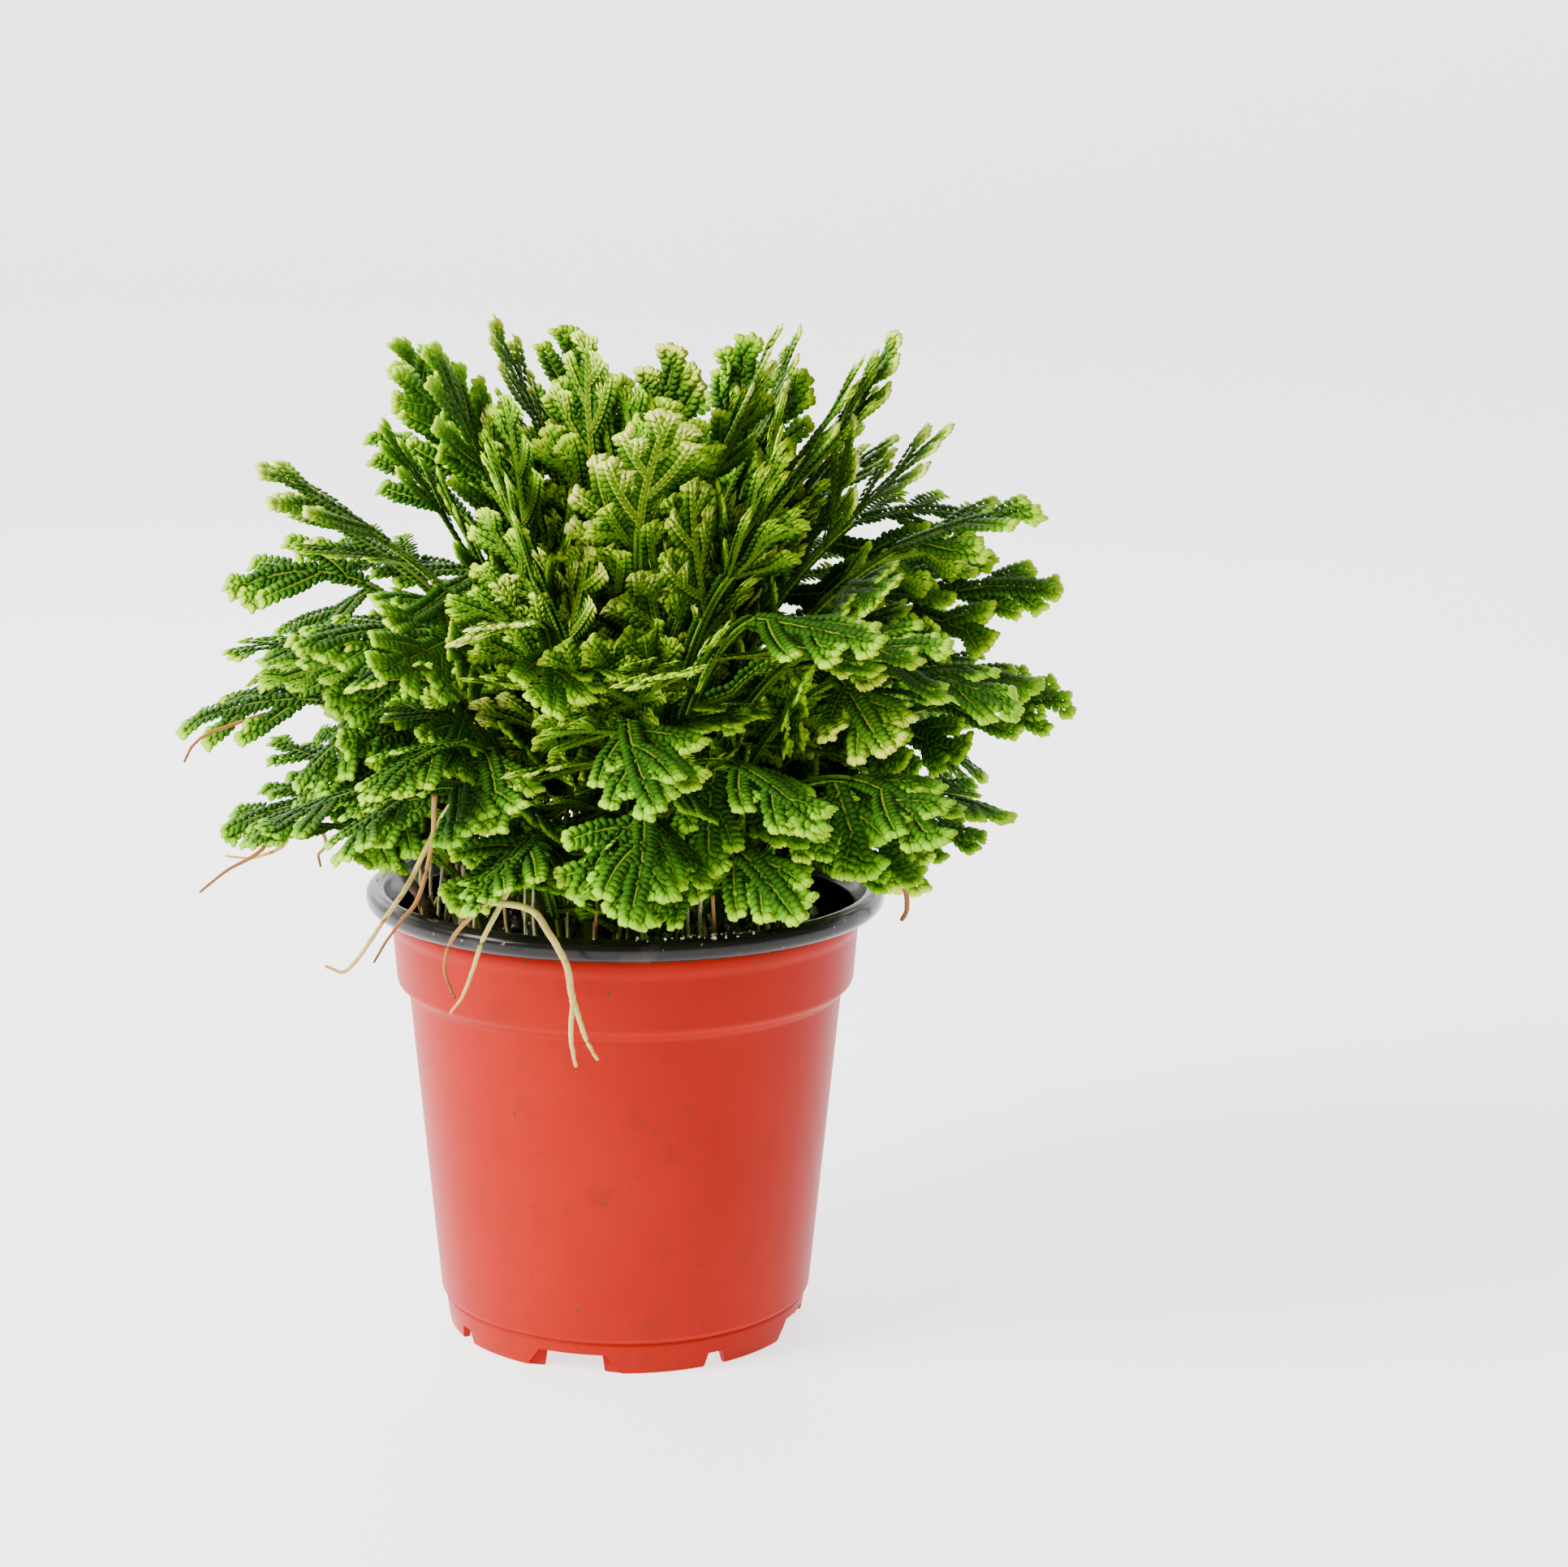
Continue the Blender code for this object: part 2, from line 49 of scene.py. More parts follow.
# ----------------------------------------
# Camera. It stands in front of the plant, a little higher than its top, and looks
# slightly down. It is turned to the right, so the plant stands left of the middle.
# ----------------------------------------
CAMERA_PLACE = (0.0, -0.6951, 0.2605)
CAMERA_LENS = 74.17
CAMERA_SENSOR = 36.0
LOOKS_RIGHT = 2.85
LOOKS_DOWN = 11.30
CAMERA_ROLL = 0.60


def placed(name, data):
    """A new object in the scene."""
    thing = bpy.data.objects.new(name, data)
    bpy.context.scene.collection.objects.link(thing)
    return thing


camera_data = bpy.data.cameras.new("camera")
camera_data.lens = CAMERA_LENS
camera_data.sensor_width = CAMERA_SENSOR
camera = placed("camera", camera_data)
camera.location = CAMERA_PLACE
camera_turn = Matrix.Rotation(math.radians(-LOOKS_RIGHT), 3, "Z")
camera_tilt = Matrix.Rotation(math.radians(90 - LOOKS_DOWN), 3, "X")
camera_roll = Matrix.Rotation(math.radians(CAMERA_ROLL), 3, "Z")
camera.rotation_euler = (camera_turn @ camera_tilt @ camera_roll).to_euler()
bpy.context.scene.camera = camera


# ----------------------------------------
# Pot. One thin shell, drawn from two-layer sheet: red outside, black inside and on
# the lip, which is rolled over outwards. Notches in the foot let water run out.
# ----------------------------------------
POT_TURN_STEPS = 180
RIM = 100.0
LIP_START = 95.1
POT_SECTION = [
    # radius and height in millimetres, and how far each corner is rounded
    (0.0, 3.9, 0.0), (37.9, 3.9, 0.4), (38.0, 0.0, 0.3), (39.5, 0.0, 0.5),
    (40.45, 6.5, 0.3), (40.2, 7.1, 0.15), (41.35, 8.0, 0.5), (47.85, 76.4, 0.7),
    (50.4, 78.6, 0.9), (51.25, 90.2, 0.6), (52.0, 92.0, 0.9), (52.05, 93.6, 0.7),
    (51.5, LIP_START, 0.3), (55.7, 95.0, 0.8), (57.0, 96.4, 1.0), (56.9, 98.9, 1.3),
    (55.0, RIM, 1.3), (53.2, 99.6, 0.8), (52.2, 97.6, 0.8), (50.3, 95.0, 0.6),
    (49.5, 79.4, 0.6), (46.9, 77.0, 0.5), (40.6, 8.6, 0.4), (39.5, 5.1, 0.3),
    (0.0, 5.1, 0.0),
]
# A notch: its width at the roof, how much wider it opens on each side, and its height.
WIDE_NOTCH = (15.0, 3.2, 4.4)
NARROW_NOTCH = (3.4, 0.9, 3.2)
NOTCHES_OF_A_KIND = 4
FIRST_NOTCH = math.radians(-107)
NARROW_TURN = math.radians(46)
NOTCH_INSIDE = 37.4
NOTCH_OUTSIDE = 42.2
DRAIN_HOLES = 6
DRAIN_CIRCLE = 23.5
DRAIN_RADIUS = 3.2
DRAIN_MIDDLE = 4.5
DRAIN_CUT = 4.0
ROUND_STEPS = 4
ROUND_SHARE = 0.45


def rounded(section, steps):
    """A section with each corner swept round, by less than half of its shorter side."""
    smooth = []
    for number, (radius, height, swing) in enumerate(section):
        corner = Vector((radius, height))
        if swing == 0.0:
            smooth.append(corner)
            continue
        before = Vector(section[number - 1][:2])
        after = Vector(section[number + 1][:2])
        start = corner + (before - corner).normalized() * min(swing, (before - corner).length * ROUND_SHARE)
        end = corner + (after - corner).normalized() * min(swing, (after - corner).length * ROUND_SHARE)
        for step in range(steps + 1):
            share = step / steps
            smooth.append(start.lerp(corner, share).lerp(corner.lerp(end, share), share))
    return smooth


def plain_mesh(name, corners, faces, *materials):
    """A mesh of corners and faces with its materials."""
    mesh = bpy.data.meshes.new(name)
    mesh.from_pydata(corners, [], faces)
    for material in materials:
        mesh.materials.append(material)
    return mesh


def turned(section, steps):
    """Corners and faces of a body turned about Z from a section in millimetres."""
    corners = [Vector((0, 0, section[0].y)) * MM]
    faces = []
    for point in section[1:-1]:
        for step in range(steps):
            angle = math.tau * step / steps
            corners.append(Vector((point.x * math.cos(angle), point.x * math.sin(angle), point.y)) * MM)
    corners.append(Vector((0, 0, section[-1].y)) * MM)
    last = len(corners) - 1
    rings = len(section) - 2
    for step in range(steps):
        after = (step + 1) % steps
        faces.append((0, 1 + after, 1 + step))
        for ring in range(rings - 1):
            low = 1 + ring * steps
            faces.append((low + step, low + after, low + steps + after, low + steps + step))
        top = 1 + (rings - 1) * steps
        faces.append((last, top + step, top + after))
    return corners, faces


def notch_wedges():
    """Cutters for the foot's notches, wide where they open, and for the floor's drain holes."""
    tool = bmesh.new()
    for number in range(NOTCHES_OF_A_KIND):
        for extra, (width, slant, height) in ((0.0, WIDE_NOTCH), (NARROW_TURN, NARROW_NOTCH)):
            angle = FIRST_NOTCH + math.tau * number / NOTCHES_OF_A_KIND + extra
            radial = Vector((math.cos(angle), math.sin(angle), 0))
            across = Vector((-math.sin(angle), math.cos(angle), 0))
            ends = []
            roof = width / 2
            mouth = roof + slant * 2
            for reach in (NOTCH_INSIDE, NOTCH_OUTSIDE):
                ring = []
                for side, level, half in ((-1, -height, mouth), (1, -height, mouth),
                                          (1, height, roof), (-1, height, roof)):
                    place = radial * reach + across * side * half + Vector((0, 0, level))
                    ring.append(tool.verts.new(place * MM))
                ends.append(ring)
            tool.faces.new(ends[0])
            tool.faces.new(ends[1][::-1])
            for at in range(4):
                to = (at + 1) % 4
                tool.faces.new((ends[0][at], ends[1][at], ends[1][to], ends[0][to]))
    for number in range(DRAIN_HOLES):
        angle = FIRST_NOTCH + math.tau * (number + 0.3) / DRAIN_HOLES
        middle = Vector((DRAIN_CIRCLE * math.cos(angle), DRAIN_CIRCLE * math.sin(angle), DRAIN_MIDDLE))
        bmesh.ops.create_cone(tool, cap_ends=True, segments=24, radius1=DRAIN_RADIUS * MM,
                              radius2=DRAIN_RADIUS * MM, depth=DRAIN_CUT * MM,
                              matrix=Matrix.Translation(middle * MM))
    bmesh.ops.recalc_face_normals(tool, faces=tool.faces)
    mesh = bpy.data.meshes.new("notch_wedges")
    tool.to_mesh(mesh)
    tool.free()
    return placed("notch_wedges", mesh)


def mottle_group():
    """A cloudy mottle: the raw cloud, and the cloud stretched to 0..1 between two levels."""
    group = bpy.data.node_groups.new("mottle", "ShaderNodeTree")
    group.interface.new_socket("Place", in_out="INPUT", socket_type="NodeSocketVector")
    for name in ("Scale", "Detail", "From", "To"):
        group.interface.new_socket(name, in_out="INPUT", socket_type="NodeSocketFloat")
    for name in ("Cloud", "Share"):
        group.interface.new_socket(name, in_out="OUTPUT", socket_type="NodeSocketFloat")
    given = group.nodes.new("NodeGroupInput")
    result = group.nodes.new("NodeGroupOutput")
    cloud = group.nodes.new("ShaderNodeTexNoise")
    stretch = group.nodes.new("ShaderNodeMapRange")
    group.links.new(given.outputs["Place"], cloud.inputs["Vector"])
    group.links.new(given.outputs["Scale"], cloud.inputs["Scale"])
    group.links.new(given.outputs["Detail"], cloud.inputs["Detail"])
    group.links.new(cloud.outputs["Fac"], stretch.inputs["Value"])
    group.links.new(given.outputs["From"], stretch.inputs["From Min"])
    group.links.new(given.outputs["To"], stretch.inputs["From Max"])
    group.links.new(cloud.outputs["Fac"], result.inputs["Cloud"])
    group.links.new(stretch.outputs["Result"], result.inputs["Share"])
    return group


MOTTLE = mottle_group()


def mottled(tree, place, scale, detail, low, high):
    """The mottle group placed in a material with its own values."""
    node = tree.nodes.new("ShaderNodeGroup")
    node.node_tree = MOTTLE
    tree.links.new(place, node.inputs["Place"])
    for name, value in (("Scale", scale), ("Detail", detail), ("From", low), ("To", high)):
        node.inputs[name].default_value = value
    return node.outputs


def blend(tree, share, first, second):
    """Mixes two colours; each is a colour or another node's output."""
    node = tree.nodes.new("ShaderNodeMix")
    node.data_type = "RGBA"
    tree.links.new(share, node.inputs[0])
    for socket, colour in ((node.inputs[6], first), (node.inputs[7], second)):
        if isinstance(colour, tuple):
            socket.default_value = (*colour, 1)
        else:
            tree.links.new(colour, socket)
    return node.outputs[2]


def bumped(tree, height, strength, distance):
    """Roughens the shader's normal by a height."""
    bump = tree.nodes.new("ShaderNodeBump")
    bump.inputs["Strength"].default_value = strength
    bump.inputs["Distance"].default_value = distance
    tree.links.new(height, bump.inputs["Height"])
    tree.links.new(bump.outputs["Normal"], tree.nodes["Principled BSDF"].inputs["Normal"])


def shaded(name, roughness, specular):
    """A new material, its nodes and its shader."""
    material = bpy.data.materials.new(name)
    material.use_nodes = True
    shader = material.node_tree.nodes["Principled BSDF"]
    shader.inputs["Roughness"].default_value = roughness
    shader.inputs["Specular IOR Level"].default_value = specular
    return material, material.node_tree, shader


def plastic(name, colour, dirt, roughness, specular):
    """Moulded plastic: one colour, faint clouds, a few dirt specks and an orange-peel skin."""
    material, tree, shader = shaded(name, roughness, specular)
    place = tree.nodes.new("ShaderNodeTexCoord").outputs["Object"]
    clouds = mottled(tree, place, 38.0, 6.0, 0.35, 0.75)
    specks = mottled(tree, place, 620.0, 1.0, 0.735, 0.775)
    smears = mottled(tree, place, 90.0, 8.0, 0.60, 0.85)
    lighter = tuple(part * 1.12 + 0.001 for part in colour)
    smear = tuple(part * 0.55 + add * 0.3 for part, add in zip(colour, dirt))
    clean = blend(tree, clouds["Share"], colour, lighter)
    smeared = blend(tree, smears["Share"], clean, smear)
    tree.links.new(blend(tree, specks["Share"], smeared, dirt), shader.inputs["Base Color"])
    rough = tree.nodes.new("ShaderNodeMapRange")
    rough.inputs["To Min"].default_value = roughness - 0.05
    rough.inputs["To Max"].default_value = roughness + 0.09
    tree.links.new(clouds["Cloud"], rough.inputs["Value"])
    tree.links.new(rough.outputs["Result"], shader.inputs["Roughness"])
    bumped(tree, mottled(tree, place, 420.0, 2.0, 0.4, 0.6)["Cloud"], 0.05, 0.0003)
    return material


red_plastic = plastic("red_plastic", (0.315, 0.0068, 0.0016), (0.10, 0.035, 0.018), 0.36, 0.06)
black_plastic = plastic("black_plastic", (0.007, 0.006, 0.006), (0.16, 0.13, 0.10), 0.19, 0.22)
pot_section = rounded(POT_SECTION, ROUND_STEPS)
pot_corners, pot_faces = turned(pot_section, POT_TURN_STEPS)
pot_mesh = plain_mesh("nursery_pot", pot_corners, pot_faces, red_plastic, black_plastic)
# The black skin starts in the corner under the lip, which the rounding lowers a little.
lip_begins = next(at for at, point in enumerate(pot_section)
                  if point.y >= LIP_START - 0.35 and point.x < 52)
for face in pot_mesh.polygons:
    ring = (min(face.vertices) - 1) // POT_TURN_STEPS + 1
    face.material_index = 1 if ring >= lip_begins + 2 and 0 not in face.vertices else 0
nursery_pot = placed("nursery_pot", pot_mesh)
wedges = notch_wedges()
cut = nursery_pot.modifiers.new("notches", "BOOLEAN")
cut.operation = "DIFFERENCE"
cut.solver = "EXACT"
cut.object = wedges
pot_with_notches = nursery_pot.evaluated_get(bpy.context.evaluated_depsgraph_get())
cut_mesh = bpy.data.meshes.new_from_object(pot_with_notches)
nursery_pot.modifiers.clear()
nursery_pot.data = cut_mesh
bpy.data.objects.remove(wedges, do_unlink=True)
cut_mesh.shade_smooth()
cut_mesh.set_sharp_from_angle(angle=math.radians(40))
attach(nursery_pot, "root")
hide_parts("pot")


# ----------------------------------------
# Soil. Loose black peat with white and tan perlite crumbs, a little lower than the
# rim. A few crumbs have been spilt on the lip.
# ----------------------------------------
SOIL_TOP = 86.5
SOIL_RADIUS = 49.3
SOIL_EDGE = 49.2
SOIL_DOME = 2.0
SOIL_CLODS = 1.3
SOIL_SETTLE = 0.4
SOIL_SIDE = [(0.0, 5.5), (38.5, 5.5), (40.0, 9.0), (46.0, 76.8), (48.4, 79.9), (SOIL_EDGE, 86.0)]
SOIL_RINGS = 46
SOIL_TURN_STEPS = 140
SPILT_CRUMBS = 46
LIP_CREST = 54.4


def crumb_shape(detail):
    """A round pebble's corners and faces, one unit across its radius."""
    work = bmesh.new()
    bmesh.ops.create_icosphere(work, subdivisions=detail, radius=1.0)
    corners = np.array([v.co[:] for v in work.verts])
    faces = np.array([[v.index for v in f.verts] for f in work.faces])
    work.free()
    return corners, faces


def scatter_crumbs(name, places, sizes, material, seed, detail, flat):
    """Many uneven crumbs as one mesh."""
    rng = np.random.default_rng(seed)
    shape, triangles = crumb_shape(detail)
    count = len(places)
    bumps = 1 + rng.uniform(-0.28, 0.28, (count, len(shape), 1))
    squash = rng.uniform(flat, 1.15, (count, 1, 3))
    radii = np.array(sizes)[:, None, None]
    corners = shape[None] * bumps * squash * radii + np.array(places)[:, None, :]
    faces = triangles[None] + (np.arange(count) * len(shape))[:, None, None]
    mesh = plain_mesh(name, corners.reshape(-1, 3).tolist(), faces.reshape(-1, 3).tolist(), material)
    return placed(name, mesh)


def crumbly(name, dark, pale, scale, roughness, bump_height):
    """A dull mineral or peat surface, mottled between two colours."""
    material, tree, shader = shaded(name, roughness, 0.5)
    place = tree.nodes.new("ShaderNodeTexCoord").outputs["Object"]
    grain = mottled(tree, place, scale, 5.0, 0.40, 0.66)
    tree.links.new(blend(tree, grain["Share"], dark, pale), shader.inputs["Base Color"])
    bumped(tree, grain["Cloud"], 0.6, bump_height)
    return material


def soil_height(x, y):
    """Height in millimetres of the soil's broken surface."""
    share = min(1.0, math.hypot(x, y) / SOIL_RADIUS)
    rough = noise.fractal(Vector((x, y, 3.0)) * 0.16, 1.0, 2.0, 4)
    dome = SOIL_DOME * (1 - share * share)
    return SOIL_TOP + dome + rough * SOIL_CLODS * (1 - share ** 6) - SOIL_SETTLE


peat = crumbly("peat", (0.0045, 0.0032, 0.0025), (0.030, 0.019, 0.012), 900.0, 0.95, 0.0008)
perlite = crumbly("perlite", (0.50, 0.44, 0.36), (0.80, 0.76, 0.68), 700.0, 0.8, 0.0004)
soil_section = [Vector(stop) for stop in SOIL_SIDE]
for ring in range(SOIL_RINGS):
    soil_section.append(Vector((SOIL_EDGE * (1 - (ring / SOIL_RINGS) ** 1.02), 0.0)))
soil_section.append(Vector((0.0, 0.0)))
soil_corners, soil_faces = turned(soil_section, SOIL_TURN_STEPS)
for at, corner in enumerate(soil_corners):
    if at > (len(SOIL_SIDE) - 1) * SOIL_TURN_STEPS:
        corner.z = soil_height(corner.x / MM, corner.y / MM) * MM
peat_mesh = plain_mesh("peat_surface", soil_corners, soil_faces, peat)
peat_mesh.shade_smooth()
peat_surface = placed("peat_surface", peat_mesh)
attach(peat_surface, "root")
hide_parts("soil")

soil_dice = random.Random(11)
for crumbs_name, crumbs_material, count, low, high, detail in (
        ("peat_crumbs", peat, 900, 0.35, 1.5, 1), ("perlite_crumbs", perlite, 170, 0.35, 1.35, 2)):
    spots = []
    radii = []
    for _ in range(count):
        reach = SOIL_RADIUS * math.sqrt(soil_dice.random()) * 0.985
        turn = soil_dice.uniform(0, math.tau)
        radius = low + (high - low) * soil_dice.random() ** 2.2
        x = reach * math.cos(turn)
        y = reach * math.sin(turn)
        spots.append((x * MM, y * MM, (soil_height(x, y) + radius * 0.35) * MM))
        radii.append(radius * MM)
    crumbs = scatter_crumbs(crumbs_name, spots, radii, crumbs_material, count, detail, 0.75)
    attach(crumbs, "root")

spilt_spots = []
spilt_radii = []
for _ in range(SPILT_CRUMBS):
    heaped = soil_dice.random() < 0.6
    turn = math.radians(soil_dice.gauss(-73, 7) if heaped else soil_dice.uniform(-180, 180))
    reach = soil_dice.uniform(52.6, 56.2)
    small = soil_dice.random() < 0.8
    radius = soil_dice.uniform(0.14, 0.36) if small else soil_dice.uniform(0.36, 0.6)
    x = reach * math.cos(turn)
    y = reach * math.sin(turn)
    height = RIM - max(0.0, abs(reach - LIP_CREST) - 0.8) * 0.45
    spilt_spots.append((x * MM, y * MM, (height + radius * 0.3) * MM))
    spilt_radii.append(radius * MM)
spilt_crumbs = scatter_crumbs("spilt_crumbs", spilt_spots, spilt_radii, perlite, 5, 1, 0.5)
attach(spilt_crumbs, "root")


# ----------------------------------------
# Shoots. Each is one grown stem with flat forked sprays: two rows of larger leaves lie
# flat at the sides, two rows of small leaves hug the stem on one face like a braid.
# Old growth is dark green, young growth lime, and the youngest tips are frosted cream.
# The lower tiers are coloured darker as painted shade under the upper ones.
# ----------------------------------------
# Arches rise from SOIL_CLEAR, just above the soil. The other levels are from the floor.
SOIL_CLEAR = 88.85
LEAN_TO_RIGHT = 0.05
LEAN_LEVEL = 110.0
SIDE_SPREAD = 0.56
SIDE_SPREAD_FROM = 130.0
SIDE_SPREAD_OVER = 100.0
FRONT_BOW = 0.34
FRONT_BOW_REACH = 92.0
FRONT_BOW_RISE = 55.0
ARCH_STEPS = 48
# A leaf's length and width, and the distance from one pair to the next.
SIDE_LEAF = (2.85, 1.70)
BRAID_LEAF = (2.2, 1.05)
LEAF_PITCH = 1.42
STEM_PITCH = 1.5
# A spray's stalk is of order 1, its forks of order 2 and their forks of order 3.
LAST_ORDER = 3
FORK_ANGLE = math.radians(42)
FORK_SPACING = 5.0
# Each stem ends in a fan, which takes no more than a share of it.
FAN_LENGTH = 30.0
FAN_SHARE = 0.36
# Sprays turn their faces to the window.
WINDOW_SIDE = Vector((-0.45, -0.78, 0.25))
# Sprays stand closer on a shoot's own arch than on the stem between two tiers.
SPRAY_SPACING = 8.0
BETWEEN_SPACING = 9.5
STALK_SIDES = 5
# A mark's U runs from old to young. Its V lies in one of three bands, and in the bands of
# the leaves it runs from green to frosted.
AGE_START, AGE_SPAN = 0.13, 0.74
FROST_START, FROST_SPAN = 0.02, 0.34
SIDE_BAND, BRAID_BAND, STALK_BAND = 0.0, 0.4, 0.8
STALK_MARK = 0.08

# Each tier: its arch as four (radius, height) stops, where its leafy part starts, the
# length of its longest sprays, how far sprays hang, how fast they droop on, how pale the
# tips turn (less in the lower tiers, as painted shade under the upper ones), how frosted
# they are, and its shoots as (azimuth in degrees, share of the arch).
TIERS = {
    "crown_shoot": ([(4, 0), (6, 57), (13, 108), (27, 134)], 0.38, 26, -0.10, 0.000, 0.96, 0.33,
                    [(-118, 0.98), (-52, 1.00), (14, 0.97), (84, 0.92), (158, 0.98)]),
    "upper_shoot": ([(10, 0), (13, 63), (26, 115), (47, 126)], 0.32, 28, -0.42, 0.004, 0.96, 0.28,
                    [(-92, 0.95), (-42, 1.00), (10, 1.00), (60, 0.96), (112, 0.98),
                     (164, 0.99), (216, 1.00)]),
    "shoulder_shoot": ([(16, 0), (20, 57), (42, 106), (74, 99)], 0.27, 27, 0.26, 0.011, 0.95, 0.18,
                       [(-114, 0.94), (-66, 0.97), (-18, 0.98), (32, 0.97), (84, 0.96),
                        (136, 0.97), (192, 0.97)]),
    "side_shoot": ([(22, 0), (27, 48), (54, 92), (88, 74)], 0.24, 26, 0.30, 0.016, 0.89, 0.08,
                   [(-92, 0.94), (-40, 0.98), (4, 0.95), (54, 0.97), (108, 0.96),
                    (158, 0.98), (212, 0.97)]),
    "waist_shoot": ([(28, 0), (33, 37), (62, 68), (95, 44)], 0.22, 23, 0.22, 0.018, 0.83, 0.03,
                    [(-130, 0.95), (-88, 0.93), (-46, 0.96), (-4, 0.96), (40, 0.97),
                     (88, 0.96), (136, 0.97), (184, 0.99)]),
    "skirt_shoot": ([(33, 0), (38, 24), (64, 42), (90, 18)], 0.22, 16, 0.04, 0.012, 0.72, 0.0,
                    [(-112, 0.82), (-66, 0.78), (-20, 0.80), (30, 0.88), (82, 0.92),
                     (134, 0.95), (180, 0.93)]),
    "low_shoot": ([(37, 0), (39, 13), (44, 19), (50, 13)], 0.30, 9, 0.05, 0.010, 0.62, 0.0,
                  [(-90, 1.00), (-42, 0.96), (40, 1.00), (160, 1.00)]),
}


def ease(share):
    """0 to 1 with a soft start and end."""
    share = min(max(share, 0.0), 1.0)
    return share * share * (3 - 2 * share)


def grown(point):
    """The plant's habit in millimetres: it leans right, spreads at the top and its front bows."""
    spread = 1 + SIDE_SPREAD * ease((point.z - SIDE_SPREAD_FROM) / SIDE_SPREAD_OVER)
    height = point.z - SOIL_CLEAR
    bow = 1 - FRONT_BOW * ease(-point.y / FRONT_BOW_REACH) * ease(height / FRONT_BOW_RISE)
    return Vector((point.x * spread + LEAN_TO_RIGHT * (point.z - LEAN_LEVEL), point.y,
                   SOIL_CLEAR + height * bow))


class Arch:
    """A tier's arch in the radial plane, measured along its length in millimetres."""

    def __init__(self, stops):
        a, b, c, d = [Vector(stop) for stop in stops]
        self.points = []
        for step in range(ARCH_STEPS + 1):
            t = step / ARCH_STEPS
            r = 1 - t
            self.points.append(a * r ** 3 + 3 * b * r * r * t + 3 * c * r * t * t + d * t ** 3)
        self.lengths = [0.0]
        for before, after in zip(self.points, self.points[1:]):
            self.lengths.append(self.lengths[-1] + (after - before).length)
        self.length = self.lengths[-1]

    def at(self, distance):
        """The point and the direction at a distance along the arch."""
        distance = min(max(distance, 0.0), self.length)
        number = 0
        while number < ARCH_STEPS - 1 and self.lengths[number + 1] < distance:
            number += 1
        run = self.points[number + 1] - self.points[number]
        share = (distance - self.lengths[number]) / run.length
        return self.points[number] + run * share, run.normalized()

    def place(self, azimuth, along, across=0.0, lift=0.0):
        """A point along and across the tier's surface, lifted off its upper side."""
        point, run = self.at(along)
        radius = point.x - run.y * lift
        height = point.y + run.x * lift
        angle = azimuth + across / max(point.x, 2.0)
        return grown(Vector((radius * math.cos(angle), radius * math.sin(angle), SOIL_CLEAR + height)))


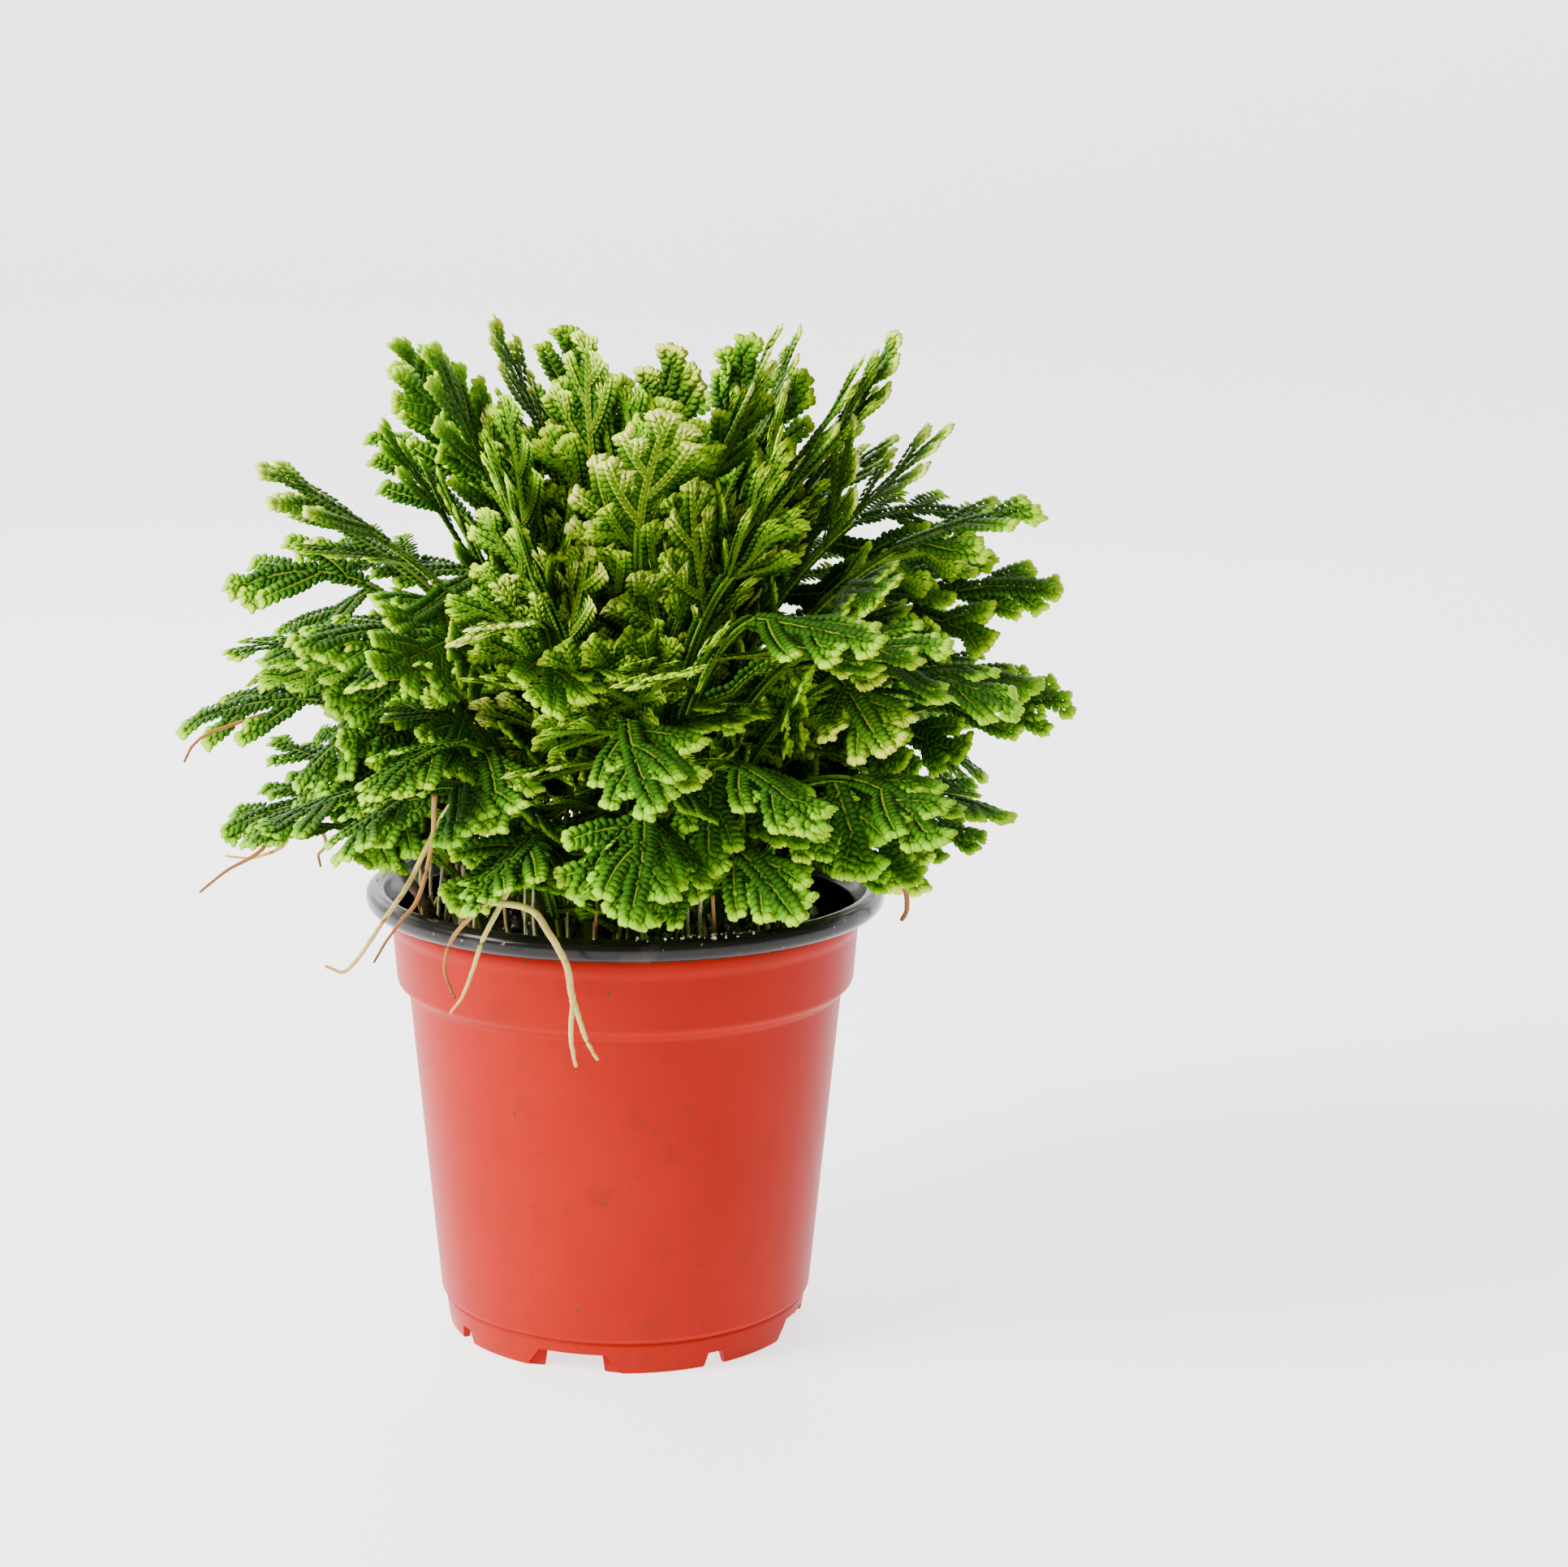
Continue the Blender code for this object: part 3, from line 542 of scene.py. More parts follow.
class Growth:
    """What one shoot has grown so far: its side leaves, its braid leaves and its stalks."""

    def __init__(self, seed, paleness_and_painted_shade):
        self.dice = random.Random(seed)
        # This value scales every leaf age; it is lower in the lower tiers, which paints shade on them.
        self.paleness_and_painted_shade = paleness_and_painted_shade
        self.side_leaves = []
        self.braid_leaves = []
        self.stalks = []

    def side_leaf(self, place, ahead, upper, angle, hand, size, age, frost):
        """One of the larger leaves, laid out at an angle from its stalk."""
        across = upper.cross(ahead)
        point_to = ahead * math.cos(angle) + across * hand * math.sin(angle)
        tilt = hand * (0.15 + self.dice.uniform(-0.12, 0.12))
        face = upper * math.cos(tilt) + point_to.cross(upper) * math.sin(tilt)
        root = place + across * hand * 0.2
        size *= self.dice.uniform(0.9, 1.1)
        self.side_leaves.append((*root, *point_to, *face, SIDE_LEAF[0] * size, SIDE_LEAF[1] * size,
                                 age, frost))

    def braid_leaf(self, place, ahead, upper, hand, size, age, frost):
        """One of the small leaves that hug the stalk."""
        across = upper.cross(ahead)
        point_to = ahead * 0.955 + across * hand * 0.296
        root = place - upper * 0.36 + across * hand * 0.26
        self.braid_leaves.append((*root, *point_to, *(-upper), BRAID_LEAF[0] * size,
                                  BRAID_LEAF[1] * size, age, frost))

    def leafy_axis(self, place, ahead, upper, length, order, side, youth, frost, droop, bend):
        """Grows one leafy stalk with its forks and its blunt toothed tip, in millimetres."""
        dice = self.dice
        steps = max(2, round(length / LEAF_PITCH))
        pitch = length / steps
        # The first fork is low on a spray's stalk, and halfway along a fork or missing there.
        if order == 1:
            next_fork = 1.5 + length * 0.08
        elif length > 5.5 and dice.random() < 0.75:
            next_fork = length * dice.uniform(0.46, 0.62)
        else:
            next_fork = length
        size = 0.92 if order == LAST_ORDER else 1.0
        points = []
        for step in range(steps + 1):
            along = step * pitch
            left = length - along
            # Only the last 8 or 9 mm are young.
            young = max(0.0, 1 - left / (8.0 if order == 1 else 9.0))
            # The tier's paleness value scales the age, so the lower tiers get painted shade.
            age = min(1.0, youth * 0.14 + young ** 2.2 * (0.74 + 0.16 * youth)) * self.paleness_and_painted_shade
            thick = 0.40 * size * (1 - 0.5 * along / length) + 0.08
            points.append((place - upper * 0.34, thick, age, frost))
            # Towards the tip the leaves grow larger and stand out less.
            swell = size * (0.80 + 0.12 * min(1.0, along / 3.0) + 0.14 * along / length)
            angle = math.radians(42 + 16 * min(1.0, left / 4.0) + dice.uniform(-4, 4))
            for hand in (-1, 1):
                shifted = place + ahead * (0.25 * hand * pitch)
                self.side_leaf(shifted, ahead, upper, angle, hand, swell, age, frost)
                self.braid_leaf(shifted, ahead, upper, hand, size, age, frost)
            if order < LAST_ORDER and along >= next_fork and left > 2.4:
                if order == 1:
                    fork_length = min(left * dice.uniform(0.52, 0.68) + 2.0, 4.0 + length * 0.38)
                else:
                    fork_length = min(left * 0.95, dice.uniform(2.9, 4.4))
                turn = Matrix.Rotation(side * FORK_ANGLE * dice.uniform(0.85, 1.15), 3, upper)
                fork_ahead = (turn @ ahead - upper * dice.uniform(-0.10, 0.18)).normalized()
                fork_upper = (upper - fork_ahead * upper.dot(fork_ahead)).normalized()
                self.leafy_axis(place.copy(), fork_ahead, fork_upper, fork_length, order + 1, -side,
                                youth, frost, droop, -side * 0.024)
                side = -side
                next_fork = along + FORK_SPACING * dice.uniform(0.85, 1.15) if order == 1 else length
            across = upper.cross(ahead)
            ahead = (ahead + across * bend * pitch + Vector((0, 0, -1)) * droop * pitch).normalized()
            upper = (upper - ahead * upper.dot(ahead)).normalized()
            place = place + ahead * pitch
        self.stalks.append(points)
        # The blunt tip has four leaves spread across it and a pair on the braid.
        # The tip age is scaled by the tier's paleness value too, as painted shade on the lower tiers.
        tip_age = min(1.0, youth * 0.30 + 0.76) * self.paleness_and_painted_shade
        place = place - ahead * 1.3
        for angle, hand in ((38, -1), (38, 1), (13, -1), (13, 1)):
            self.side_leaf(place, ahead, upper, math.radians(angle), hand, size * 0.92, tip_age, frost)
        for hand in (-1, 1):
            self.braid_leaf(place, ahead, upper, hand, size, tip_age, frost)

    def spray(self, place, ahead, upper, length, side, youth, frost, hang, droop, slant):
        """One side spray: a flat forked fan with a slant of its own."""
        dice = self.dice
        faced = upper + WINDOW_SIDE * max(0.0, upper.z)
        upper = Matrix.Rotation(dice.gauss(0, slant), 3, ahead) @ faced
        # Sprays that point to the front hang further.
        hang *= dice.uniform(0.6, 1.4) * (1 + 1.1 * max(0.0, -ahead.y))
        ahead = (ahead - upper * dice.gauss(0.03, 0.16) - Vector((0, 0, hang))).normalized()
        upper = (upper - ahead * upper.dot(ahead)).normalized()
        youth = min(1.0, youth * dice.uniform(0.3, 1.3))
        frost = dice.uniform(0.60, 1.0) if dice.random() < frost else dice.uniform(0.0, 0.12)
        droop *= dice.uniform(0.5, 1.5)
        self.leafy_axis(place, ahead, upper, length, 1, side, youth, frost, droop, -side * 0.010)

    def stem(self, arch, turn, reach, leafy_from, sectors, longest, hang, droop, frost, spacing):
        """One stem up its arch, bare at the foot, side sprays left and right, and an end fan."""
        dice = self.dice

        def frame_at(along):
            place = arch.place(turn, along)
            ahead = (arch.place(turn, along + 0.5) - arch.place(turn, along - 0.5)).normalized()
            upper = (arch.place(turn, along, 0.0, 0.5) - place).normalized()
            return place, ahead, (upper - ahead * upper.dot(ahead)).normalized()

        stalk = []
        fan = min(FAN_LENGTH, reach * FAN_SHARE)
        count = int(reach / STEM_PITCH)
        for step in range(count + 1):
            along = (reach - fan) * step / count
            place, ahead, upper = frame_at(along)
            way = along / reach
            stalk.append((place, 0.85 - 0.45 * way, 0.30 * way, frost))
            if along > reach * leafy_from * 0.8:
                for hand in (-1, 1):
                    self.side_leaf(place, ahead, upper, math.radians(52), hand, 0.9, 0.28 * way, frost)
                    self.braid_leaf(place - upper * 0.4, ahead, upper, hand, 1.1, 0.34 * way, frost)
        self.stalks.append(stalk)
        along = reach * leafy_from
        side = dice.choice((-1, 1))
        while along < reach - fan:
            place, ahead, upper = frame_at(along)
            # A spray is as long as its sector of the tier has room for.
            room = max(10.0, (arch.at(along)[0].x + 16.0) * math.pi / sectors * 1.35 / math.sin(0.80))
            length = min(longest, room) * dice.uniform(0.80, 1.12)
            fork_ahead = Matrix.Rotation(side * math.radians(dice.uniform(36, 54)), 3, upper) @ ahead
            slant = 0.30 + 0.22 * abs(math.cos(turn))
            youth = 0.10 + 0.90 * along / reach
            self.spray(place, fork_ahead, upper, length, side, youth, frost, hang, droop, slant)
            side = -side
            along += spacing * dice.uniform(0.8, 1.2)
        place, ahead, upper = frame_at(reach - fan)
        self.spray(place, ahead, upper, fan, side, 1.0, frost * 1.3, hang * 0.5, droop, 0.22)


# One side leaf lies along X with its upper face at +Z; lengths are shares of the leaf's
# own length, width and length. The marks beside it are its place in the leaf colours.
SIDE_SHAPE = np.array([
    (0.0, 0.0, 0.0), (0.26, 0.46, 0.015), (0.70, 0.50, -0.02), (0.94, 0.20, -0.07),
    (0.94, -0.20, -0.07), (0.70, -0.50, -0.02), (0.26, -0.46, 0.015), (0.52, 0.0, 0.075),
    (0.52, 0.0, -0.05)])
BRAID_SHAPE = np.array([
    (0.0, 0.0, 0.0), (0.42, 0.5, 0.0), (1.0, 0.06, 0.06), (0.42, -0.5, 0.0),
    (0.42, 0.0, 0.18), (0.42, 0.0, -0.10)])
SIDE_MARKS = np.array([
    (-0.13, 0.0), (-0.05, 0.012), (0.03, 0.012), (0.09, 0.004), (0.09, -0.004), (0.03, -0.012),
    (-0.05, -0.012), (-0.03, 0.0), (-0.03, 0.001)])
BRAID_MARKS = np.array([
    (-0.10, 0.0), (-0.01, 0.012), (0.08, 0.0), (-0.01, -0.012), (0.02, 0.0), (0.02, 0.001)])


def lens_faces(rim):
    """A leaf body: a fan of triangles above the rim and one below."""
    faces = []
    for at in range(rim):
        faces.append(((at + 1) % rim, at, rim))
        faces.append((at, (at + 1) % rim, rim + 1))
    return np.array(faces)


def leaf_bodies(rows, shape, marks, band):
    """Corners, faces and colour marks of many leaves of one shape."""
    rows = np.array(rows)
    root, ahead, face = rows[:, 0:3], rows[:, 3:6], rows[:, 6:9]
    long, wide, age, frost = rows[:, 9], rows[:, 10], rows[:, 11], rows[:, 12]
    across = np.cross(face, ahead)
    corners = root[:, None] + (long[:, None] * shape[None, :, 0])[..., None] * ahead[:, None]
    corners = corners + (wide[:, None] * shape[None, :, 1])[..., None] * across[:, None]
    corners = corners + (long[:, None] * shape[None, :, 2])[..., None] * face[:, None]
    triangles = lens_faces(len(shape) - 2)
    faces = triangles[None] + (np.arange(len(rows)) * len(shape))[:, None, None]
    uv = np.empty((len(rows), len(shape), 2))
    uv[..., 0] = AGE_START + AGE_SPAN * age[:, None] + marks[None, :, 0]
    uv[..., 1] = band + FROST_START + FROST_SPAN * frost[:, None] + marks[None, :, 1]
    return corners.reshape(-1, 3) * MM, faces.reshape(-1, 3), uv.reshape(-1, 2)


def stalk_body(points, sides, band):
    """A closed tapering stalk with its colour marks."""
    count = len(points)
    places = np.array([point[0][:] for point in points])
    ahead = np.gradient(places, axis=0)
    ahead /= np.linalg.norm(ahead, axis=1)[:, None]
    side = np.cross(ahead, np.where(np.abs(ahead[:, 2:]) > 0.9, (0.0, 1.0, 0.0), (0.0, 0.0, 1.0)))
    side /= np.linalg.norm(side, axis=1)[:, None]
    other = np.cross(ahead, side)
    turns = math.tau * np.arange(sides) / sides
    ring = side[:, None] * np.cos(turns)[None, :, None]
    ring = ring + other[:, None] * np.sin(turns)[None, :, None]
    radii = np.array([point[1] for point in points])
    corners = places[:, None] + ring * radii[:, None, None]
    corners = np.concatenate([corners.reshape(-1, 3), places[:1], places[-1:]])
    at = np.arange(sides)
    after = (at + 1) % sides
    faces = [np.stack([after, at, np.full(sides, count * sides)], 1),
             np.stack([(count - 1) * sides + at, (count - 1) * sides + after,
                       np.full(sides, count * sides + 1)], 1)]
    for row in range(count - 1):
        low = row * sides
        faces.append(np.stack([low + at, low + after, low + sides + after], 1))
        faces.append(np.stack([low + at, low + sides + after, low + sides + at], 1))
    ages = np.array([point[2] for point in points])
    u = np.repeat(AGE_START + AGE_SPAN * ages, sides) + np.tile(0.01 * np.sin(turns), count)
    u = np.concatenate([u, u[:1], u[-1:]])
    middle = band + STALK_MARK
    v = middle + np.tile(0.03 * np.cos(turns), count) + np.repeat(0.01 * (np.arange(count) % 2), sides)
    v = np.concatenate([v, [middle, middle]])
    return corners * MM, np.concatenate(faces), np.stack([u, v], 1)


def body_mesh(name, parts, material):
    """One smooth mesh from several sets of corners, faces and colour marks."""
    corners = np.concatenate([part[0] for part in parts])
    offsets = np.cumsum([0] + [len(part[0]) for part in parts[:-1]])
    faces = np.concatenate([part[1] + offset for part, offset in zip(parts, offsets)])
    marks = np.concatenate([part[2] for part in parts])
    mesh = bpy.data.meshes.new(name)
    mesh.vertices.add(len(corners))
    mesh.vertices.foreach_set("co", corners.astype(np.float32).ravel())
    mesh.loops.add(faces.size)
    mesh.loops.foreach_set("vertex_index", faces.astype(np.int32).ravel())
    mesh.polygons.add(len(faces))
    mesh.polygons.foreach_set("loop_start", np.arange(0, faces.size, 3, dtype=np.int32))
    mesh.update(calc_edges=True)
    layer = mesh.uv_layers.new(name="OFBake")
    layer.uv.foreach_set("vector", marks[faces.ravel()].astype(np.float32).ravel())
    mesh.shade_smooth()
    mesh.materials.append(material)
    return placed(name, mesh)


def marked_material(name, roughness, specular):
    """A material coloured by the marks on its mesh, with the marks' two directions."""
    material, tree, shader = shaded(name, roughness, specular)
    marks = tree.nodes.new("ShaderNodeUVMap")
    marks.uv_map = "OFBake"
    split = tree.nodes.new("ShaderNodeSeparateXYZ")
    tree.links.new(marks.outputs["UV"], split.inputs["Vector"])
    return material, shader, marks.outputs["UV"], split.outputs["X"], split.outputs["Y"]


def by_age(tree, age, stops):
    """A colour for each age from old to young."""
    ramp = tree.nodes.new("ShaderNodeValToRGB")
    while len(ramp.color_ramp.elements) < len(stops):
        ramp.color_ramp.elements.new(0.5)
    for element, (position, colour) in zip(ramp.color_ramp.elements, stops):
        element.position = position
        element.color = (*colour, 1)
    tree.links.new(age, ramp.inputs["Fac"])
    return ramp.outputs["Color"]


def rise(tree, value, low, high):
    """0 below one level and 1 above the other."""
    node = tree.nodes.new("ShaderNodeMapRange")
    node.inputs["From Min"].default_value = low
    node.inputs["From Max"].default_value = high
    tree.links.new(value, node.inputs["Value"])
    return node.outputs["Result"]


def leaf_material():
    """Leaf colours by age and frost, in three bands: side leaves, braid leaves and stalks."""
    material, shader, _, age, band = marked_material("frosted_leaf", 0.50, 0.06)
    tree = material.node_tree
    side_green = by_age(tree, age, [
        (0.0, (0.012, 0.046, 0.003)), (0.25, (0.026, 0.098, 0.003)), (0.45, (0.062, 0.205, 0.002)),
        (0.63, (0.150, 0.40, 0.001)), (0.80, (0.40, 0.70, 0.001)), (1.0, (0.76, 0.92, 0.002))])
    side_frost = by_age(tree, age, [
        (0.0, (0.020, 0.064, 0.003)), (0.25, (0.044, 0.13, 0.003)), (0.45, (0.11, 0.28, 0.003)),
        (0.63, (0.32, 0.54, 0.005)), (0.80, (0.78, 0.90, 0.06)), (1.0, (0.98, 0.97, 0.40))])
    braid_green = by_age(tree, age, [
        (0.0, (0.028, 0.084, 0.004)), (0.35, (0.085, 0.235, 0.003)), (0.63, (0.19, 0.45, 0.002)),
        (1.0, (0.74, 0.92, 0.003))])
    braid_frost = by_age(tree, age, [
        (0.0, (0.08, 0.17, 0.005)), (0.35, (0.28, 0.48, 0.012)), (0.63, (0.70, 0.82, 0.07)),
        (1.0, (0.98, 0.97, 0.42))])
    stalk = by_age(tree, age, [
        (0.0, (0.15, 0.18, 0.010)), (0.5, (0.075, 0.20, 0.004)), (1.0, (0.36, 0.62, 0.004))])
    side = blend(tree, rise(tree, band, 0.03, 0.37), side_green, side_frost)
    braid = blend(tree, rise(tree, band, 0.43, 0.77), braid_green, braid_frost)
    leafy = blend(tree, rise(tree, band, 0.395, 0.405), side, braid)
    all_parts = blend(tree, rise(tree, band, 0.795, 0.805), leafy, stalk)
    tree.links.new(all_parts, shader.inputs["Base Color"])
    return material


frosted_leaf = leaf_material()
tier_names = list(TIERS)
for tier_number, tier_name in enumerate(tier_names):
    stops, leafy_from, longest, hang, droop, paleness_and_painted_shade, frost, shoots = TIERS[tier_name]
    arch = Arch(stops)
    # A shoot's second stem grows between its own tier and the next one out.
    outer_stops = TIERS[tier_names[min(tier_number + 1, len(tier_names) - 2)]][0]
    between = Arch([Vector(a).lerp(Vector(b), 0.5) for a, b in zip(stops, outer_stops)])
    for number, (azimuth, share) in enumerate(shoots):
        turn = math.radians(azimuth)
        # The tier's paleness value darkens the lower tiers' leaves as painted shade.
        growth = Growth(tier_number * 100 + number, paleness_and_painted_shade)
        shoot_frost = frost + 0.05 * math.cos(turn)
        growth.stem(arch, turn, arch.length * share, leafy_from, len(shoots), longest, hang, droop,
                    shoot_frost, SPRAY_SPACING)
        if tier_name != "low_shoot":
            aside = turn + math.pi / len(shoots) * growth.dice.uniform(0.7, 1.1)
            reach = between.length * share * growth.dice.uniform(0.90, 1.0)
            growth.stem(between, aside, reach, leafy_from + 0.10, len(shoots), longest * 0.95, hang,
                        droop * 1.2, shoot_frost, BETWEEN_SPACING)
        parts = [leaf_bodies(growth.side_leaves, SIDE_SHAPE, SIDE_MARKS, SIDE_BAND),
                 leaf_bodies(growth.braid_leaves, BRAID_SHAPE, BRAID_MARKS, BRAID_BAND)]
        parts += [stalk_body(points, STALK_SIDES, STALK_BAND) for points in growth.stalks]
        shoot = body_mesh(f"leafy_{tier_name}_{number + 1}", parts, frosted_leaf)
        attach(shoot, "root")
        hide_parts(f"{tier_name}_{number + 1}")


# ----------------------------------------
# Aerial roots. Wiry roots that grow from the undersides of the lower shoots, straw or
# brown and thinner at the dry tip. Some hang outside the lip, some stand on the soil.
# ----------------------------------------
ROOT_CLEAR = 2.2
LIP_CLEAR = 58.6
LIP_CLEAR_BELOW = 4.0
ROUTE_STEPS = 7
ROOT_SIDES = 9
# The bands of the root colours.
STRAW, PALE, BROWN = 0.0, 0.3, 0.6

# Each hanging root: its tier, the azimuth in degrees and the share of the arch where it
# leaves, then its route (right, back, up from the rim), its width at the top and at the
# tip, and its colour.
HANGING_ROOTS = {
    "root_forked": ("skirt_shoot", -112, 0.74,
                    [(-19, -63, 8), (-15, -64.5, 3), (-12, -64.5, -3), (-11, -64, -9),
                     (-10.6, -63.6, -11.5)], 1.5, 1.4, STRAW),
    "root_front_left": ("skirt_shoot", -112, 0.58,
                        [(-29, -60, 1), (-31, -61.5, -5), (-33, -62, -10), (-35.5, -62, -13.5)],
                        1.2, 0.5, STRAW),
    "root_front_brown": ("skirt_shoot", -112, 0.66,
                         [(-34, -59.5, 3), (-36.5, -60.5, -3), (-36, -61.3, -7),
                          (-34.5, -61.8, -10.5)], 1.1, 0.5, BROWN),
    "root_left_rim": ("waist_shoot", -130, 0.56,
                      [(-40, -36, 18), (-45, -38, 8), (-48.5, -40, 3), (-52.5, -43, -2.5),
                       (-56, -44.5, -7.5), (-58.5, -45, -9.4), (-62, -45.5, -8)], 1.3, 0.7, STRAW),
    "root_left_bent": ("waist_shoot", -130, 0.64,
                       [(-40, -42.5, 17), (-42.5, -46, 7), (-46, -49, 2.5),
                        (-49, -50.5, -1.5), (-51.5, -52, -5.5)], 1.2, 0.5, BROWN),
    "root_far_left": ("skirt_shoot", 180, 0.82,
                      [(-79, -6, 8), (-86, -9, 4), (-92, -11, -0.5)], 1.2, 0.5, BROWN),
    "root_far_left_low": ("skirt_shoot", 180, 0.76,
                          [(-75, 3, 7), (-82, 3.5, 4), (-88, 3, 4.5)], 1.1, 0.5, STRAW),
    "root_left_hook": ("skirt_shoot", 180, 0.68,
                       [(-66, 3, 7.5), (-68, 6.5, 4), (-67.5, 7, 1)], 1.0, 0.5, BROWN),
    "root_left_curl": ("waist_shoot", 184, 0.82,
                       [(-88, -12, 35), (-92, -14, 32.5), (-94, -15, 29)], 0.9, 0.5, BROWN),
    "root_right_rim": ("skirt_shoot", -20, 0.58,
                       [(56.5, -17, 7), (60, -15.5, 2), (60.8, -14.6, -3.5), (59.8, -14, -6)],
                       1.5, 1.0, BROWN),
}
FORK_ARMS = [[(-10.6, -63.6, -10.5), (-11.2, -63.4, -16), (-10.8, -63.2, -21), (-10.2, -63, -24.5)],
             [(-10.6, -63.6, -10.5), (-9.2, -63.6, -15.5), (-7.4, -63.4, -20), (-5.8, -63.2, -23)]]
# Each root that stands on the soil: its route from the foot (right, back, up from the
# soil), its width at the foot and at the top.
PROP_ROOTS = {
    "prop_root_1": ([(30, -33, 0), (30.2, -33.5, 6), (29, -33, 10.5)], 1.1, 1.3),
    "prop_root_2": ([(4, -45, 0), (4.6, -45.3, 6), (3.4, -44.5, 10.5)], 1.0, 1.2),
}
FINE_ROOTS = 58
FINE_ROOT_STEPS = 6
FINE_ROOT_SIDES = 6


def smooth_route(stops, steps):
    """A smooth line through the stops."""
    stops = [Vector(stop) for stop in stops]
    line = []
    for number in range(len(stops) - 1):
        before = stops[max(number - 1, 0)]
        start, end = stops[number], stops[number + 1]
        after = stops[min(number + 2, len(stops) - 1)]
        for step in range(steps):
            t = step / steps
            bend = 2 * before - 5 * start + 4 * end - after
            swing = 3 * start - before - 3 * end + after
            line.append(0.5 * (2 * start + (end - before) * t + bend * t * t + swing * t ** 3))
    return line + [stops[-1]]


def root_points(route, thick, thin, seed):
    """A root's places, radii and ages, with a slight natural wander."""
    points = []
    for number, place in enumerate(route):
        share = number / (len(route) - 1)
        sway = [noise.noise(Vector((seed + axis * 31.0, number * 0.35, 0.5))) for axis in range(3)]
        wander = Vector(sway) * 0.16 * min(1.0, number / 3)
        swell = 1 + 0.10 * noise.noise(Vector((seed + 9.0, number * 0.8, 0.0)))
        points.append((place + wander, (thick + (thin - thick) * share) / 2 * swell, share, 0.0))
    return points


def beside_lip(stop):
    """A stop given from the rim; near and below the rim it is kept outside the lip."""
    x, y, up = stop
    reach = math.hypot(x, y)
    push = LIP_CLEAR / reach if up < LIP_CLEAR_BELOW and reach < LIP_CLEAR else 1.0
    return Vector((x * push, y * push, RIM + up))


def root_material():
    """Root colours from the top to the dry tip, in three bands: straw, pale and brown."""
    material, shader, marks, age, band = marked_material("aerial_root", 0.55, 0.20)
    tree = material.node_tree
    straw = by_age(tree, age, [
        (0.1, (0.44, 0.42, 0.09)), (0.45, (0.66, 0.50, 0.13)), (0.9, (0.62, 0.36, 0.10))])
    pale = by_age(tree, age, [
        (0.1, (0.30, 0.26, 0.13)), (0.5, (0.62, 0.55, 0.33)), (0.9, (0.70, 0.64, 0.44))])
    brown = by_age(tree, age, [
        (0.1, (0.42, 0.24, 0.05)), (0.5, (0.34, 0.13, 0.03)), (0.9, (0.15, 0.05, 0.015))])
    clean = blend(tree, rise(tree, band, 0.45, 0.55),
                  blend(tree, rise(tree, band, 0.2, 0.25), straw, pale), brown)
    stain = mottled(tree, marks, 26.0, 3.0, 0.50, 0.72)
    stained = blend(tree, stain["Share"], clean, (0.22, 0.12, 0.035))
    tree.links.new(blend(tree, stain["Share"], clean, stained), shader.inputs["Base Color"])
    return material


aerial_root = root_material()
for number, (name, (tier, azimuth, share, stops, thick, thin, tone)) in enumerate(HANGING_ROOTS.items()):
    arch = Arch(TIERS[tier][0])
    top = arch.place(math.radians(azimuth), arch.length * share, 0.0, -(ROOT_CLEAR + thick / 2))
    route = smooth_route([top] + [beside_lip(stop) for stop in stops], ROUTE_STEPS)
    parts = [stalk_body(root_points(route, thick, thin, number), ROOT_SIDES, tone)]
    if name == "root_forked":
        for arm in FORK_ARMS:
            route = smooth_route([beside_lip(stop) for stop in arm], ROUTE_STEPS)
            parts.append(stalk_body(root_points(route, thin * 0.9, 0.7, number), ROOT_SIDES, tone))
    root = body_mesh(f"aerial_{name}", parts, aerial_root)
    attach(root, "root")
    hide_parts(name)
for number, (name, (stops, thick, thin)) in enumerate(PROP_ROOTS.items()):
    route = smooth_route([(x, y, SOIL_CLEAR + up) for x, y, up in stops[::-1]], ROUTE_STEPS)
    parts = [stalk_body(root_points(route, thin, thick, number + 20), ROOT_SIDES, PALE)]
    root = body_mesh(f"aerial_{name}", parts, aerial_root)
    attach(root, "root")
    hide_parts(name)

fine_dice = random.Random(7)
fine_parts = []
for number in range(FINE_ROOTS):
    turn = math.radians(fine_dice.uniform(-175, -5) if number % 3 else fine_dice.uniform(5, 175))
    reach = fine_dice.uniform(34.0, 46.5)
    outwards = fine_dice.uniform(-5.0, 4.0)
    rise_height = fine_dice.uniform(12.0, 30.0)
    aside = fine_dice.uniform(-0.05, 0.05)
    foot = Vector((reach * math.cos(turn), reach * math.sin(turn), 0.0))
    foot.z = soil_height(foot.x, foot.y) - 0.3
    head_reach = reach + outwards
    head = Vector((head_reach * math.cos(turn + aside), head_reach * math.sin(turn + aside),
                   foot.z + rise_height))
    sway = Vector((fine_dice.uniform(-1.6, 1.6), fine_dice.uniform(-1.6, 1.6), 0.0))
    middle = foot.lerp(head, 0.5) + sway
    width = fine_dice.uniform(0.45, 1.0)
    tone = fine_dice.choice((PALE, PALE, STRAW, BROWN))
    route = smooth_route([head, middle, foot], FINE_ROOT_STEPS)
    points = root_points(route, width, width * 0.8, number + 40)
    fine_parts.append(stalk_body(points, FINE_ROOT_SIDES, tone))
fine_roots = body_mesh("fine_roots", fine_parts, aerial_root)
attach(fine_roots, "root")


# ----------------------------------------
# Old stem. A dead woody stem, dark and rough, that rises from the soil at the left under
# the shoots and is broken off at the top.
# ----------------------------------------
# Its route (right, back, up from the soil), its radius at the foot and how much it thins.
OLD_STEM_ROUTE = [(-36, -22, 0.45), (-40, -24.5, 6.15), (-42.5, -26.5, 12.15), (-46.5, -28.5, 18.15),
                  (-49.5, -31, 24.15), (-49, -31, 30.15), (-50.5, -31.5, 36.15)]
OLD_STEM_RADIUS = 1.3
OLD_STEM_THINS = 0.3
OLD_STEM_STEPS = 8
OLD_STEM_SIDES = 14

